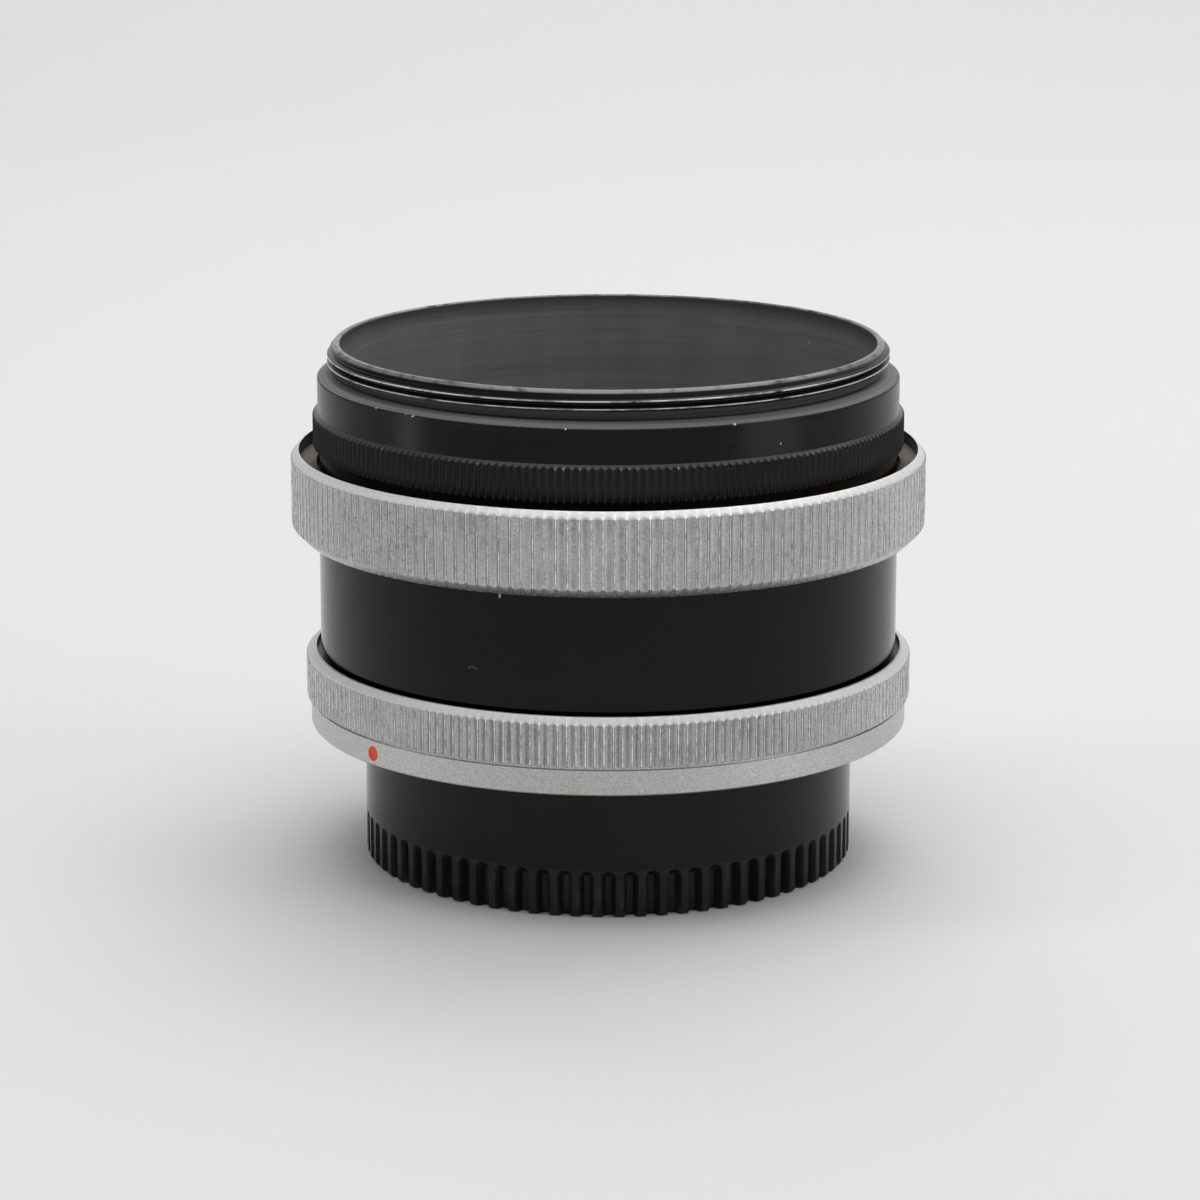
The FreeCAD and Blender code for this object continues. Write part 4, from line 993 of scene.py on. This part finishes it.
def plain_metal(name, level, warm, roughness, metallic=1.0):
    """Turned metal whose tone follows its lathe lines."""
    finish = Finish(name)
    rings = finish.lathe_lines(20, 12000)
    colour = finish.mix(rings, grey(level * 0.9, warm), grey(level * 1.05, warm))
    return finish.surface(
        Base_Color=colour,
        Metallic=metallic,
        Roughness=roughness + (rings - 0.5) * 0.1,
        Normal=finish.bump(rings, 0.15, 0.00002),
    )


bright_chrome = plain_metal("bright_chrome", 0.58, 0.01, 0.3)
steel = plain_metal("steel", 0.5, 0.0, 0.3)
bronze = plain_metal("bronze", 0.42, 0.35, 0.35)
matt_black = plain_metal("matt_black", 0.02, 0.0, 0.75, metallic=0.0)


def red_paint(name):
    """Enamel that has settled in its dimple."""
    finish = Finish(name)
    tone = finish.noise(finish.place, 2500, 3.0)
    colour = finish.mix(tone, (0.95, 0.045, 0.015, 1), (1.0, 0.15, 0.04, 1))
    return finish.surface(
        Base_Color=colour,
        Roughness=0.3 + (tone - 0.5) * 0.1,
        Normal=finish.bump(tone, 0.1, 0.00003),
    )


index_red = red_paint("index_red")
print("finishes made:", len(bpy.data.materials))

# %% [markdown]
# ## Giving each piece its finish
# The pieces made above take theirs by object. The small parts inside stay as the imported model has
# them, because their plain shapes are right, and only their material is changed.

# %% Give each piece its finish
FINISHES = {
    coupler: coupler_finish,
    wide_ring: wide_finish,
    lower_ring: lower_finish,
    index_mark: index_red,
    tube: tube_finish,
    coupler_seat: bright_chrome,
    tube_seat: bright_chrome,
    tube_mount: bright_chrome,
    tube_sleeve: matt_black,
    cap: cap_finish,
}
for made, material in FINISHES.items():
    made.data.materials.clear()
    made.data.materials.append(material)

SMALL_PARTS = {
    "front_slip_washer": bronze,
    "rear_slip_washer": bronze,
    "coupler_seat_screws": steel,
    "front_bayonet_screws": steel,
    "rear_seat_screws": steel,
    "coupler_locating_pin": steel,
    "rear_locating_pin": steel,
    "front_stop_pin": steel,
    "rear_stop_pin": steel,
    "baffle_snap_ring": steel,
}
for node, material in SMALL_PARTS.items():
    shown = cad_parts[node]
    shown.data.materials.clear()
    shown.data.materials.append(material)
print(len(FINISHES), "pieces and", len(SMALL_PARTS), "small parts have their finish")

# %% [markdown]
# ## Floor, backdrop and light
# The part stands on a plain pale sheet that curves up behind it, as on a product table. Four soft
# lamps light it: a large one above, one behind that lights the sheet and draws the thread's edges,
# one from the right, and a slim one from the left for the bright line along the black walls.

# %% Sweep
SWEEP_WIDTH = 3.0
SWEEP_FRONT = -1.6
SWEEP_BACK = 1.1
SWEEP_HEIGHT = 1.8
BEND = 0.5
BEND_STEPS = 24
sweep_shape = bmesh.new()
line = [(SWEEP_FRONT, 0), (SWEEP_BACK - BEND, 0)]
for step in range(1, BEND_STEPS):
    turn = step / BEND_STEPS * math.pi / 2
    line.append((SWEEP_BACK - BEND + BEND * math.sin(turn), BEND - BEND * math.cos(turn)))
line += [(SWEEP_BACK, BEND), (SWEEP_BACK, SWEEP_HEIGHT)]
left = [sweep_shape.verts.new((-SWEEP_WIDTH / 2, y, z)) for y, z in line]
left_edges = [sweep_shape.edges.new(pair) for pair in zip(left, left[1:])]
wide_strip = bmesh.ops.extrude_edge_only(sweep_shape, edges=left_edges)
far_side = [item for item in wide_strip["geom"] if isinstance(item, bmesh.types.BMVert)]
bmesh.ops.translate(sweep_shape, verts=far_side, vec=(SWEEP_WIDTH, 0, 0))
bmesh.ops.recalc_face_normals(sweep_shape, faces=sweep_shape.faces)
for face in sweep_shape.faces:
    face.smooth = True
sweep_mesh = bpy.data.meshes.new("sweep")
sweep_shape.to_mesh(sweep_mesh)
sweep_shape.free()
sweep = bpy.data.objects.new("sweep", sweep_mesh)
bpy.context.scene.collection.objects.link(sweep)
pale_sheet = Finish("pale_sheet").surface(Base_Color=grey(0.80), Roughness=0.8, Specular_IOR_Level=0.2)
sweep_mesh.materials.append(pale_sheet)
print("sheet:", SWEEP_WIDTH, "m wide,", len(sweep_mesh.polygons), "faces")

# %% Lamps and world


def lamp(name, place, target, size, power):
    """A soft rectangular lamp that faces a point."""
    data = bpy.data.lights.new(name, "AREA")
    data.shape = "RECTANGLE"
    data.size, data.size_y = size
    data.energy = power
    made = bpy.data.objects.new(name, data)
    made.location = place
    made.rotation_euler = (Vector(target) - Vector(place)).to_track_quat("-Z", "Y").to_euler()
    bpy.context.scene.collection.objects.link(made)


MIDDLE = (0, 0, 0.03)
lamp("overhead", (0.05, -0.05, 0.8), MIDDLE, (1.0, 0.9), 4.3)
lamp("rear_top", (0.15, 0.7, 0.85), (0, 0.35, 0), (1.4, 0.5), 4.5)
lamp("right_side", (0.75, -0.35, 0.35), MIDDLE, (0.4, 0.7), 1.25)
lamp("left_strip", (-0.7, -0.1, 0.3), MIDDLE, (0.12, 0.7), 0.65)

WORLD_LIGHT = 0.22
world = bpy.data.worlds.new("studio")
bpy.context.scene.world = world
world.use_nodes = True
background = world.node_tree.nodes["Background"]
background.inputs["Color"].default_value = grey(1.0)
background.inputs["Strength"].default_value = WORLD_LIGHT
print("lamps:", [f"{data.name} {data.energy:.2f} W" for data in bpy.data.lights])

# %% [markdown]
# ## Camera
# The photograph looks down on the part at about 14 degrees through a long lens. The place, the tilt
# and the lens come from a pinhole camera that was fitted to the ellipses of the rings.

# %% Camera at the photograph's viewing angle
LENS = 122.2
SENSOR_WIDTH = 36
CAMERA_PLACE = (-0.00086, -0.4144, 0.1282)
CAMERA_TILT = math.radians(76.221)
camera_data = bpy.data.cameras.new("camera")
camera_data.lens = LENS
camera_data.sensor_width = SENSOR_WIDTH
camera = bpy.data.objects.new("camera", camera_data)
camera.location = CAMERA_PLACE
camera.rotation_euler = (CAMERA_TILT, 0, 0)
bpy.context.scene.collection.objects.link(camera)
bpy.context.scene.camera = camera
bpy.context.scene.view_settings.view_transform = "Standard"
print(f"camera {camera.location.length:.3f} m away, lens {LENS} mm")
